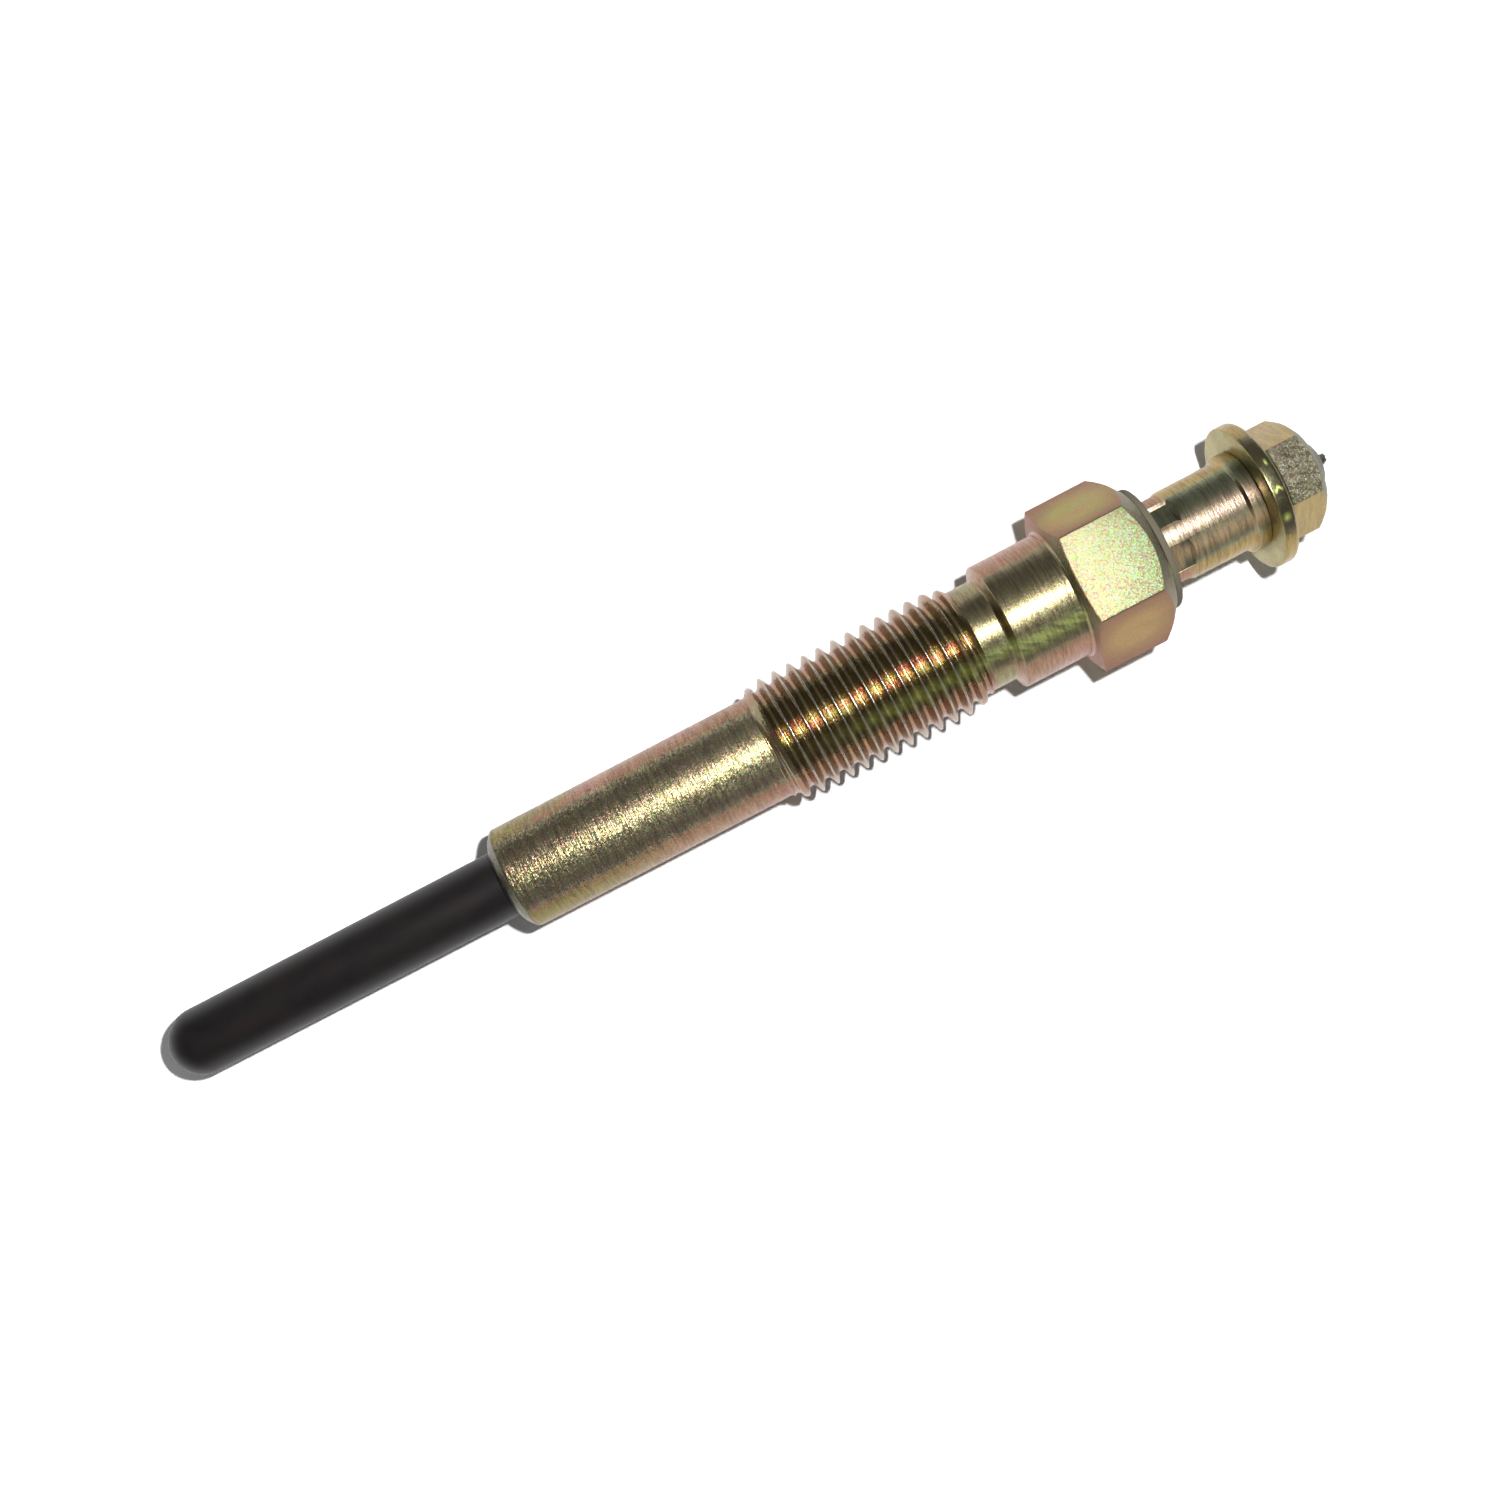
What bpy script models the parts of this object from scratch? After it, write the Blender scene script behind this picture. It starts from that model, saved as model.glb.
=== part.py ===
"""A diesel glow plug lying on its side.

The plug's axis runs along X, from the heater's tip at -X to the terminal at +X. Two flats of
the hexagon are level, and the lower one lies on the ground plane. Every length is in metres,
and places along the plug are measured from the heater's tip.
"""

import math

import bmesh
import bpy

# Clearances between separate pieces
ROUND_FIT = 0.0001
SEAT_GAP = 0.00005

# How far a cutter or a blank reaches past the surface that it makes
OVERRUN = 0.0002

# Heater sheath, a closed tube pressed into the housing
SHEATH_DIAMETER = 0.0053
SHEATH_EXPOSED_LENGTH = 0.02884
SHEATH_HELD_LENGTH = 0.0175
SHEATH_WALL = 0.00055
SHEATH_TIP_WALL = 0.0009

# Housing: nose, shank and neck
SHANK_DIAMETER = 0.0082
SHANK_LENGTH = 0.02243
NOSE_ROUNDING = 0.0006
NECK_DIAMETER = 0.0082
NECK_LENGTH = 0.00198

# Housing: M10 thread, whose crests die away at both ends
THREAD_DIAMETER = 0.00985
THREAD_PITCH = 0.00125
THREAD_LENGTH = 0.01714
THREAD_DEPTH = 0.00078
THREAD_CREST_WIDTH = 0.00018
THREAD_FLANK_ANGLE = math.radians(30)
THREAD_END_DROP = 0.000325
THREAD_START_RAMP = 0.00064
THREAD_START_TAPER = 0.00095
THREAD_END_TAPER = 0.0016
THREAD_END_RAMP = 0.0005
THREAD_FIRST_CREST = 0.0020
THREAD_GROOVE_LEAD_TURNS = 2

# Housing: collar and hexagon
COLLAR_DIAMETER = 0.0100
COLLAR_LENGTH = 0.0058
COLLAR_CONE_LENGTH = 0.00038
COLLAR_FILLET = 0.00025
HEX_ACROSS_FLATS = 0.01175
HEX_LENGTH = 0.00687
HEX_BACK_CONE_LENGTH = 0.00034
HEX_END_CHAMFER_ANGLE = math.radians(51.5)
HEAD_FACE_DIAMETER = 0.00986

# Housing: stepped bore
MAIN_BORE_DIAMETER = 0.0062
COUNTERBORE_DIAMETER = 0.0080
COUNTERBORE_DEPTH = 0.0040

# Coils inside the sheath
COIL_WIRE_DIAMETER = 0.00034
COIL_MEAN_DIAMETER = 0.00265
COIL_TIP_LEAD = 0.0016
COIL_SPIRAL_LENGTH = 0.0008
HEATING_COIL_TURNS = 9
HEATING_COIL_PITCH = 0.0008
CONTROL_COIL_TURNS = 14
CONTROL_COIL_PITCH = 0.0009

# Magnesia filling, packed round the coils
SLOT_CLEARANCE = 0.00015
FILLING_WEB_THICKNESS = 0.0010
WEB_TO_COIL = 0.0006

# Centre electrode, which ends in the M5 terminal stud
ELECTRODE_IN_COIL_LENGTH = 0.0030
ELECTRODE_LOWER_DIAMETER = 0.0025
ELECTRODE_MIDDLE_DIAMETER = 0.0038
ELECTRODE_STEP_LENGTH = 0.0012
STUD_DIAMETER = 0.0050
STUD_PROJECTION = 0.001
STUD_CHAMFER = 0.001
STUD_NUB_LENGTH = 0.0009
STUD_NUB_DIAMETER = 0.0012
STUD_NUB_TIP_DIAMETER = 0.0007

# Sheath seal
SHEATH_SEAL_LENGTH = 0.0025
SHEATH_SEAL_DEPTH = 0.0003

# Insulating bush between the housing and the terminal
BUSH_FLANGE_DIAMETER = 0.0098
BUSH_FLANGE_THICKNESS = 0.00046
BUSH_FLANGE_ROUNDING = 0.00012

# Round terminal nut, staked to the stud by punched flats
ROUND_NUT_DIAMETER = 0.00705
ROUND_NUT_LENGTH = 0.0078
ROUND_NUT_COLLAR_DIAMETER = 0.00776
ROUND_NUT_COLLAR_LENGTH = 0.0011
ROUND_NUT_CHAMFER = 0.00015
STAKE_COUNT = 4
STAKE_FIRST_ANGLE = math.radians(10.5)
STAKE_LENGTH = 0.00172
STAKE_DEPTH = 0.00038
STAKE_SLOPE_LENGTH = 0.00035

# Hexagon flange nut, M5
NUT_HEIGHT = 0.00487
NUT_ACROSS_FLATS = 0.0078
NUT_FLANGE_DIAMETER = 0.0114
NUT_FLANGE_RIM = 0.00108
NUT_FLANGE_CONE_ANGLE = math.radians(24)
NUT_CROWN_ANGLE = math.radians(36)
NUT_CROWN_FACE_DIAMETER = 0.0066
NUT_BORE_CHAMFER = 0.0003

# Facets round each piece and along each coil
ROUND_STEPS = 36
SMALL_ROUND_STEPS = 24
HEX_STEPS = 6
WIRE_SIDES = 10
COIL_STEPS_PER_TURN = 10
ARC_STEPS = 4
FILLET_STEPS = 2
DOME_STEPS = 6
HALF_STEP = math.pi / ROUND_STEPS
SHARP_ANGLE = math.radians(30)
MERGE_DISTANCE = 1e-7

# Places along the plug, from the heater's tip
NOSE = SHEATH_EXPOSED_LENGTH
SHEATH_TOP = NOSE + SHEATH_HELD_LENGTH
THREAD_START = NOSE + SHANK_LENGTH
THREAD_END = THREAD_START + THREAD_LENGTH
SHOULDER = THREAD_END + NECK_LENGTH
HEX_START = SHOULDER + COLLAR_LENGTH
HEAD_END = HEX_START + HEX_LENGTH
COUNTERBORE_FLOOR = HEAD_END - COUNTERBORE_DEPTH
BUSH_START = HEAD_END + SEAT_GAP
ROUND_NUT_START = BUSH_START + BUSH_FLANGE_THICKNESS + SEAT_GAP
FLANGE_NUT_START = ROUND_NUT_START + ROUND_NUT_LENGTH + SEAT_GAP
STUD_FACE = FLANGE_NUT_START + NUT_HEIGHT + STUD_PROJECTION
PLUG_LENGTH = STUD_FACE + STUD_NUB_LENGTH

# Places inside the sheath
COIL_TIP = SHEATH_TIP_WALL + ROUND_FIT
SPIRAL_START = COIL_TIP + COIL_TIP_LEAD
HEATING_COIL_START = SPIRAL_START + COIL_SPIRAL_LENGTH
HEATING_COIL_END = HEATING_COIL_START + HEATING_COIL_TURNS * HEATING_COIL_PITCH
WEB_START = HEATING_COIL_END + WEB_TO_COIL
WEB_END = WEB_START + FILLING_WEB_THICKNESS
CONTROL_COIL_START = WEB_END + WEB_TO_COIL
CONTROL_COIL_END = CONTROL_COIL_START + CONTROL_COIL_TURNS * CONTROL_COIL_PITCH
ELECTRODE_SHOULDER = CONTROL_COIL_END + COIL_WIRE_DIAMETER / 2 + ROUND_FIT
ELECTRODE_START = ELECTRODE_SHOULDER - ELECTRODE_IN_COIL_LENGTH
SHEATH_SEAL_START = SHEATH_TOP - SHEATH_SEAL_DEPTH - SHEATH_SEAL_LENGTH

# Radii that follow from the sizes above
HEX_CORNER_RADIUS = HEX_ACROSS_FLATS / 2 / math.cos(math.pi / HEX_STEPS)
NUT_CORNER_RADIUS = NUT_ACROSS_FLATS / 2 / math.cos(math.pi / HEX_STEPS)
SHEATH_RADIUS = SHEATH_DIAMETER / 2
SHEATH_BORE_RADIUS = SHEATH_RADIUS - SHEATH_WALL
FILLING_RADIUS = SHEATH_BORE_RADIUS - ROUND_FIT
COIL_RADIUS = COIL_MEAN_DIAMETER / 2
WIRE_RADIUS = COIL_WIRE_DIAMETER / 2
WIRE_HOLE_RADIUS = WIRE_RADIUS + ROUND_FIT
SLOT_INNER_RADIUS = COIL_RADIUS - WIRE_RADIUS - SLOT_CLEARANCE
SLOT_OUTER_RADIUS = COIL_RADIUS + WIRE_RADIUS + SLOT_CLEARANCE
STUD_RADIUS = STUD_DIAMETER / 2
STUD_HOLE_RADIUS = STUD_RADIUS + ROUND_FIT
ROD_HOLE_RADIUS = ELECTRODE_LOWER_DIAMETER / 2 + ROUND_FIT
COUNTERBORE_RADIUS = COUNTERBORE_DIAMETER / 2
RING_SECTION_RADIUS = (COUNTERBORE_RADIUS - STUD_RADIUS) / 2 - ROUND_FIT
AXIS_HEIGHT = max(HEX_ACROSS_FLATS, NUT_FLANGE_DIAMETER) / 2


def clear_scene():
    for old in list(bpy.data.objects):
        bpy.data.objects.remove(old, do_unlink=True)


def arc(along, radius, size, start_degrees, end_degrees, steps=ARC_STEPS):
    """Points of an arc about (along, radius): 0 degrees points along the plug, 90 outwards."""
    points = []
    for step in range(steps + 1):
        angle = math.radians(start_degrees + (end_degrees - start_degrees) * step / steps)
        points.append((along + size * math.cos(angle), radius + size * math.sin(angle)))
    return points


def turn_profile(shape, outline, steps, roll):
    """Turns a closed outline of (along, radius) points once round the X axis, from angle roll."""
    corners = []
    for along, radius in outline:
        place = (along, -radius * math.sin(roll), radius * math.cos(roll))
        corners.append(shape.verts.new(place))
    edges = []
    for index, corner in enumerate(corners):
        before = index - 1
        if outline[index][1] > 0 or outline[before][1] > 0:
            edges.append(shape.edges.new((corners[before], corner)))
    bmesh.ops.spin(
        shape,
        geom=corners + edges,
        cent=(0, 0, 0),
        axis=(1, 0, 0),
        angle=2 * math.pi,
        steps=steps,
        use_merge=True,
    )
    bmesh.ops.remove_doubles(shape, verts=shape.verts, dist=MERGE_DISTANCE)
    bmesh.ops.recalc_face_normals(shape, faces=shape.faces)


def new_object(name, shape, parent):
    """Makes a smooth-shaded object of a bmesh and frees the bmesh."""
    mesh = bpy.data.meshes.new(name)
    shape.to_mesh(mesh)
    shape.free()
    mesh.shade_smooth()
    mesh.set_sharp_from_angle(angle=SHARP_ANGLE)
    made = bpy.data.objects.new(name, mesh)
    made.parent = parent
    bpy.context.scene.collection.objects.link(made)
    return made


def turned(name, outline, parent, along=0.0, steps=ROUND_STEPS, roll=0.0):
    """A turned piece whose outline starts at this place along the plug."""
    shape = bmesh.new()
    turn_profile(shape, outline, steps, roll)
    made = new_object(name, shape, parent)
    made.location.x = along
    return made


def combine(piece, tool, operation):
    """Cuts, joins or intersects a piece with a hidden tool."""
    boolean = piece.modifiers.new(tool.name, "BOOLEAN")
    boolean.operation = operation
    boolean.solver = "EXACT"
    boolean.object = tool
    tool.hide_render = True
    tool.display_type = "WIRE"


def finish(piece, colour, roughness, metallic):
    """Gives a piece its own plain material."""
    material = bpy.data.materials.new(piece.name)
    material.use_nodes = True
    shader = material.node_tree.nodes["Principled BSDF"]
    shader.inputs["Base Color"].default_value = (*colour, 1)
    shader.inputs["Roughness"].default_value = roughness
    shader.inputs["Metallic"].default_value = metallic
    piece.data.materials.append(material)
    return piece


def housing_outline():
    """The housing's section, out along its surface and back through its stepped bore."""
    shank = SHANK_DIAMETER / 2
    crest = THREAD_DIAMETER / 2
    neck = NECK_DIAMETER / 2
    collar = COLLAR_DIAMETER / 2
    face = HEAD_FACE_DIAMETER / 2
    blank = HEX_CORNER_RADIUS + OVERRUN
    cone_slope = HEX_BACK_CONE_LENGTH / (HEX_CORNER_RADIUS - collar)
    cone_end = HEX_START + (blank - collar) * cone_slope
    chamfer_start = HEAD_END - (blank - face) / math.tan(HEX_END_CHAMFER_ANGLE)
    sheath_hole = SHEATH_RADIUS + ROUND_FIT
    main_bore = MAIN_BORE_DIAMETER / 2

    outline = [(NOSE, sheath_hole)]
    outline += arc(NOSE + NOSE_ROUNDING, shank - NOSE_ROUNDING, NOSE_ROUNDING, 180, 90)
    outline += [
        (THREAD_START, shank),
        (THREAD_START + THREAD_START_RAMP, crest - THREAD_END_DROP),
        (THREAD_START + THREAD_START_RAMP + THREAD_START_TAPER, crest),
        (THREAD_END - THREAD_END_RAMP - THREAD_END_TAPER, crest),
        (THREAD_END - THREAD_END_RAMP, crest - THREAD_END_DROP),
        (THREAD_END, neck),
        (SHOULDER, neck),
        (SHOULDER + COLLAR_CONE_LENGTH, collar),
    ]
    fillet_centre = (HEX_START - COLLAR_FILLET, collar + COLLAR_FILLET)
    outline += arc(*fillet_centre, COLLAR_FILLET, -90, 0, FILLET_STEPS)
    outline += [
        (cone_end, blank),
        (chamfer_start, blank),
        (HEAD_END, face),
        (HEAD_END, COUNTERBORE_RADIUS),
        (COUNTERBORE_FLOOR, COUNTERBORE_RADIUS),
        (COUNTERBORE_FLOOR, main_bore),
        (SHEATH_TOP + SEAT_GAP, main_bore),
        (SHEATH_TOP + SEAT_GAP, sheath_hole),
    ]
    return outline


def thread_groove(parent):
    """The helical cutter for the thread, a 60 degree groove that runs off both ends."""
    crest = THREAD_DIAMETER / 2
    root = crest - THREAD_DEPTH
    flank = math.tan(THREAD_FLANK_ANGLE)
    overshoot = THREAD_CREST_WIDTH / 4 / flank
    crest_half_width = (THREAD_PITCH - THREAD_CREST_WIDTH) / 2
    root_half_width = crest_half_width - THREAD_DEPTH * flank
    outer_half_width = crest_half_width + overshoot * flank
    lead_in = THREAD_PITCH * (THREAD_GROOVE_LEAD_TURNS + 1 / 2)
    start = THREAD_START + THREAD_FIRST_CREST - lead_in
    end = THREAD_END + THREAD_PITCH / 2
    steps = math.ceil((end - start) / THREAD_PITCH * ROUND_STEPS)
    section = [
        (start - root_half_width, root),
        (start - outer_half_width, crest + overshoot),
        (start + outer_half_width, crest + overshoot),
        (start + root_half_width, root),
    ]
    shape = bmesh.new()
    corners = [shape.verts.new((along, 0, radius)) for along, radius in section]
    cap = shape.faces.new(corners)
    bmesh.ops.spin(
        shape,
        geom=[cap],
        cent=(0, 0, 0),
        axis=(1, 0, 0),
        dvec=(THREAD_PITCH / ROUND_STEPS, 0, 0),
        angle=2 * math.pi * steps / ROUND_STEPS,
        steps=steps,
    )
    bmesh.ops.recalc_face_normals(shape, faces=shape.faces)
    return new_object("thread_groove", shape, parent)


def hexagon_ring(parent):
    """A ring with a hexagonal hole, which leaves the six flats of the housing's head."""
    wall = HEX_ACROSS_FLATS / 2
    outline = [
        (0, HEX_CORNER_RADIUS),
        (0, HEX_CORNER_RADIUS + wall),
        (HEX_LENGTH + OVERRUN, HEX_CORNER_RADIUS + wall),
        (HEX_LENGTH + OVERRUN, HEX_CORNER_RADIUS),
    ]
    roll = math.pi / HEX_STEPS
    return turned("hexagon_ring", outline, parent, HEX_START, HEX_STEPS, roll)


def make_housing(parent):
    """The plated steel body: a turned blank with its thread and hexagon cut from it.

    The blank's facets lie half a step round from the cutters', so that no two edges nearly meet.
    """
    housing = turned("housing", housing_outline(), parent, roll=HALF_STEP)
    combine(housing, thread_groove(parent), "DIFFERENCE")
    combine(housing, hexagon_ring(parent), "DIFFERENCE")
    finish(housing, (0.56, 0.47, 0.22), 0.32, 1.0)


def on_axis_ends(outline):
    """Sets the first and last points of an outline exactly on the axis."""
    first, last = outline[0], outline[-1]
    return [(first[0], 0.0), *outline[1:-1], (last[0], 0.0)]


def make_heater_sheath(parent):
    """The oxidised tube with a round closed tip. Its upper end is open."""
    bore = SHEATH_BORE_RADIUS
    outline = arc(SHEATH_RADIUS, 0, SHEATH_RADIUS, 180, 90, DOME_STEPS)
    outline += [(SHEATH_TOP, SHEATH_RADIUS), (SHEATH_TOP, bore)]
    outline += arc(SHEATH_TIP_WALL + bore, 0, bore, 90, 180, DOME_STEPS)
    sheath = turned("heater_sheath", on_axis_ends(outline), parent)
    finish(sheath, (0.035, 0.028, 0.027), 0.42, 0.9)


def filling_outline():
    """The packed powder's section: a sleeve and a core, joined by a web between the coils."""
    chamber = SPIRAL_START - WIRE_HOLE_RADIUS
    core_start = HEATING_COIL_START + ROUND_FIT
    core_end = ELECTRODE_START - SEAT_GAP
    dome_centre = SHEATH_TIP_WALL + SHEATH_BORE_RADIUS
    hole_angle = math.degrees(math.asin(WIRE_HOLE_RADIUS / FILLING_RADIUS))
    end = SHEATH_SEAL_START - SEAT_GAP
    outline = [
        (core_start, 0.0),
        (core_start, SLOT_INNER_RADIUS),
        (WEB_START, SLOT_INNER_RADIUS),
        (WEB_START, SLOT_OUTER_RADIUS),
        (chamber, SLOT_OUTER_RADIUS),
        (chamber, WIRE_HOLE_RADIUS),
    ]
    outline += arc(dome_centre, 0, FILLING_RADIUS, 180 - hole_angle, 90, DOME_STEPS)
    outline += [
        (end, FILLING_RADIUS),
        (end, ROD_HOLE_RADIUS),
        (ELECTRODE_SHOULDER, ROD_HOLE_RADIUS),
        (ELECTRODE_SHOULDER, SLOT_OUTER_RADIUS),
        (WEB_END, SLOT_OUTER_RADIUS),
        (WEB_END, SLOT_INNER_RADIUS),
        (core_end, SLOT_INNER_RADIUS),
        (core_end, 0.0),
    ]
    return outline


def make_magnesia_filling(parent):
    """White insulating powder, packed hard round the coils and the electrode's lower end."""
    filling = turned("magnesia_filling", filling_outline(), parent, steps=SMALL_ROUND_STEPS)
    hole_outline = [
        (0, 0.0),
        (0, WIRE_HOLE_RADIUS),
        (FILLING_WEB_THICKNESS + WEB_TO_COIL, WIRE_HOLE_RADIUS),
        (FILLING_WEB_THICKNESS + WEB_TO_COIL, 0.0),
    ]
    hole_start = WEB_START - WEB_TO_COIL / 2
    wire_hole = turned("web_wire_hole", hole_outline, parent, hole_start, WIRE_SIDES)
    wire_hole.location.z = COIL_RADIUS
    combine(filling, wire_hole, "DIFFERENCE")
    finish(filling, (0.80, 0.79, 0.75), 0.9, 0.0)


def helix(start, turns, pitch):
    """Points of a coil about the axis, which starts and ends straight above it."""
    points = []
    for step in range(turns * COIL_STEPS_PER_TURN + 1):
        turn = step / COIL_STEPS_PER_TURN
        angle = 2 * math.pi * turn
        across = COIL_RADIUS * math.sin(angle)
        points.append((start + turn * pitch, across, COIL_RADIUS * math.cos(angle)))
    return points


def opening_spiral():
    """Half a turn that takes the wire from the axis out to the coil's radius."""
    points = []
    steps = COIL_STEPS_PER_TURN // 2
    for step in range(steps):
        part = step / steps
        angle = math.pi * (part - 1)
        radius = COIL_RADIUS * part
        along = SPIRAL_START + COIL_SPIRAL_LENGTH * part
        points.append((along, radius * math.sin(angle), radius * math.cos(angle)))
    return points


def wire(name, points, parent):
    """A round wire along these points, with its ends closed."""
    curve = bpy.data.curves.new(name, "CURVE")
    curve.dimensions = "3D"
    curve.bevel_depth = WIRE_RADIUS
    curve.bevel_resolution = 1
    curve.use_fill_caps = True
    spline = curve.splines.new("POLY")
    spline.points.add(len(points) - 1)
    for point, place in zip(spline.points, points):
        point.co = (*place, 1)
    made = bpy.data.objects.new(name, curve)
    made.parent = parent
    bpy.context.scene.collection.objects.link(made)
    return made


def make_heating_coil(parent):
    """The coil behind the tip. Its front end is welded to the sheath's tip."""
    joint = (WEB_START + WEB_END - SEAT_GAP) / 2
    points = [(COIL_TIP, 0, 0)]
    points += opening_spiral()
    points += helix(HEATING_COIL_START, HEATING_COIL_TURNS, HEATING_COIL_PITCH)
    points.append((joint, 0, COIL_RADIUS))
    finish(wire("heating_coil", points, parent), (0.42, 0.40, 0.38), 0.5, 1.0)


def make_control_coil(parent):
    """The coil that limits the current. Its last turns are wound on the electrode."""
    joint = (WEB_START + WEB_END + SEAT_GAP) / 2
    points = [(joint, 0, COIL_RADIUS)]
    points += helix(CONTROL_COIL_START, CONTROL_COIL_TURNS, CONTROL_COIL_PITCH)
    finish(wire("control_coil", points, parent), (0.58, 0.55, 0.50), 0.4, 1.0)


def make_centre_electrode(parent):
    """The rod that carries the current, from the control coil to the terminal stud."""
    lower = ELECTRODE_LOWER_DIAMETER / 2
    middle = ELECTRODE_MIDDLE_DIAMETER / 2
    coil_seat = COIL_RADIUS - WIRE_RADIUS - ROUND_FIT
    outline = [
        (ELECTRODE_START, 0.0),
        (ELECTRODE_START, coil_seat),
        (ELECTRODE_SHOULDER, coil_seat),
        (ELECTRODE_SHOULDER, lower),
        (SHEATH_TOP + ELECTRODE_STEP_LENGTH, lower),
        (SHEATH_TOP + ELECTRODE_STEP_LENGTH * 2, middle),
        (COUNTERBORE_FLOOR - ELECTRODE_STEP_LENGTH * 2, middle),
        (COUNTERBORE_FLOOR - ELECTRODE_STEP_LENGTH, STUD_RADIUS),
        (STUD_FACE - STUD_CHAMFER, STUD_RADIUS),
        (STUD_FACE, STUD_RADIUS - STUD_CHAMFER),
        (STUD_FACE, STUD_NUB_DIAMETER / 2),
        (STUD_FACE + STUD_NUB_LENGTH, STUD_NUB_TIP_DIAMETER / 2),
        (STUD_FACE + STUD_NUB_LENGTH, 0.0),
    ]
    electrode = turned("centre_electrode", outline, parent, steps=SMALL_ROUND_STEPS)
    finish(electrode, (0.45, 0.44, 0.42), 0.35, 1.0)


def make_sheath_seal(parent):
    """A rubber sleeve that closes the sheath's open end round the electrode."""
    end = SHEATH_SEAL_START + SHEATH_SEAL_LENGTH
    outline = [
        (SHEATH_SEAL_START, ROD_HOLE_RADIUS),
        (SHEATH_SEAL_START, FILLING_RADIUS),
        (end, FILLING_RADIUS),
        (end, ROD_HOLE_RADIUS),
    ]
    seal = turned("sheath_seal", outline, parent, steps=SMALL_ROUND_STEPS)
    finish(seal, (0.32, 0.10, 0.05), 0.7, 0.0)


def make_seal_ring(parent):
    """The round-section ring at the foot of the housing's counterbore."""
    centre = COUNTERBORE_FLOOR + SEAT_GAP + RING_SECTION_RADIUS
    middle = (COUNTERBORE_RADIUS + STUD_RADIUS) / 2
    section = arc(centre, middle, RING_SECTION_RADIUS, 0, 360, WIRE_SIDES)
    ring = turned("seal_ring", section[:-1], parent, steps=SMALL_ROUND_STEPS)
    finish(ring, (0.03, 0.03, 0.03), 0.65, 0.0)


def make_insulating_bush(parent):
    """A moulded bush. Its flange shows between the head and the terminal nut."""
    ring_end = COUNTERBORE_FLOOR + SEAT_GAP + RING_SECTION_RADIUS * 2
    foot = ring_end + SEAT_GAP
    spigot = COUNTERBORE_RADIUS - ROUND_FIT
    rim = BUSH_FLANGE_DIAMETER / 2
    rounding = BUSH_FLANGE_ROUNDING
    end = BUSH_START + BUSH_FLANGE_THICKNESS
    outline = [
        (foot, STUD_HOLE_RADIUS),
        (foot, spigot),
        (BUSH_START, spigot),
        (BUSH_START, rim - rounding),
        (BUSH_START + rounding, rim),
        (end - rounding, rim),
        (end, rim - rounding),
        (end, STUD_HOLE_RADIUS),
    ]
    bush = turned("insulating_bush", outline, parent)
    finish(bush, (0.15, 0.14, 0.09), 0.75, 0.0)


def stake_punch(name, angle, parent):
    """A cutter that flattens the round nut on one side, with a sloped end."""
    floor = ROUND_NUT_DIAMETER / 2 - STAKE_DEPTH
    half_width = ROUND_NUT_DIAMETER / 2
    slope_start = STAKE_LENGTH - STAKE_SLOPE_LENGTH
    slope_end = STAKE_LENGTH + STAKE_SLOPE_LENGTH
    side = [
        (-STAKE_LENGTH, floor),
        (slope_start, floor),
        (slope_end, floor + STAKE_DEPTH * 2),
        (-STAKE_LENGTH, floor + STAKE_DEPTH * 2),
    ]
    shape = bmesh.new()
    corners = [shape.verts.new((along, -half_width, height)) for along, height in side]
    near_side = shape.faces.new(corners)
    swept = bmesh.ops.extrude_face_region(shape, geom=[near_side])
    moved = [item for item in swept["geom"] if isinstance(item, bmesh.types.BMVert)]
    bmesh.ops.translate(shape, verts=moved, vec=(0, half_width * 2, 0))
    bmesh.ops.recalc_face_normals(shape, faces=shape.faces)
    punch = new_object(name, shape, parent)
    punch.location.x = ROUND_NUT_START
    punch.rotation_euler.x = -angle
    return punch


def make_round_nut(parent):
    """The terminal nut that is staked to the stud. It has a wider collar at its outer end."""
    body = ROUND_NUT_DIAMETER / 2
    collar = ROUND_NUT_COLLAR_DIAMETER / 2
    collar_start = ROUND_NUT_LENGTH - ROUND_NUT_COLLAR_LENGTH
    chamfer = ROUND_NUT_CHAMFER
    outline = [
        (0, STUD_HOLE_RADIUS),
        (0, body),
        (collar_start, body),
        (collar_start + chamfer, collar),
        (ROUND_NUT_LENGTH - chamfer, collar),
        (ROUND_NUT_LENGTH, collar - chamfer),
        (ROUND_NUT_LENGTH, STUD_HOLE_RADIUS),
    ]
    nut = turned("round_nut", outline, parent, ROUND_NUT_START)
    for number in range(STAKE_COUNT):
        angle = STAKE_FIRST_ANGLE + 2 * math.pi * number / STAKE_COUNT
        combine(nut, stake_punch(f"stake_punch_{number + 1}", angle, parent), "DIFFERENCE")
    finish(nut, (0.60, 0.45, 0.27), 0.28, 1.0)


def nut_hexagon(parent):
    """The flange nut's hexagon, whose foot lies inside the flange and whose end is crowned."""
    foot = NUT_FLANGE_RIM / 2
    outline = [
        (foot, 0.0),
        (foot, NUT_CORNER_RADIUS),
        (NUT_HEIGHT, NUT_CORNER_RADIUS),
        (NUT_HEIGHT, 0.0),
    ]
    roll = math.pi / HEX_STEPS
    hexagon = turned("nut_hexagon", outline, parent, FLANGE_NUT_START, HEX_STEPS, roll)
    blank = NUT_CORNER_RADIUS + OVERRUN
    face = NUT_CROWN_FACE_DIAMETER / 2
    crown_outline = [
        (0, 0.0),
        (0, blank),
        (NUT_HEIGHT - (blank - face) * math.tan(NUT_CROWN_ANGLE), blank),
        (NUT_HEIGHT, face),
        (NUT_HEIGHT, 0.0),
    ]
    crown = turned("nut_crown", crown_outline, parent, FLANGE_NUT_START, roll=HALF_STEP)
    combine(hexagon, crown, "INTERSECT")
    return hexagon


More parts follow.
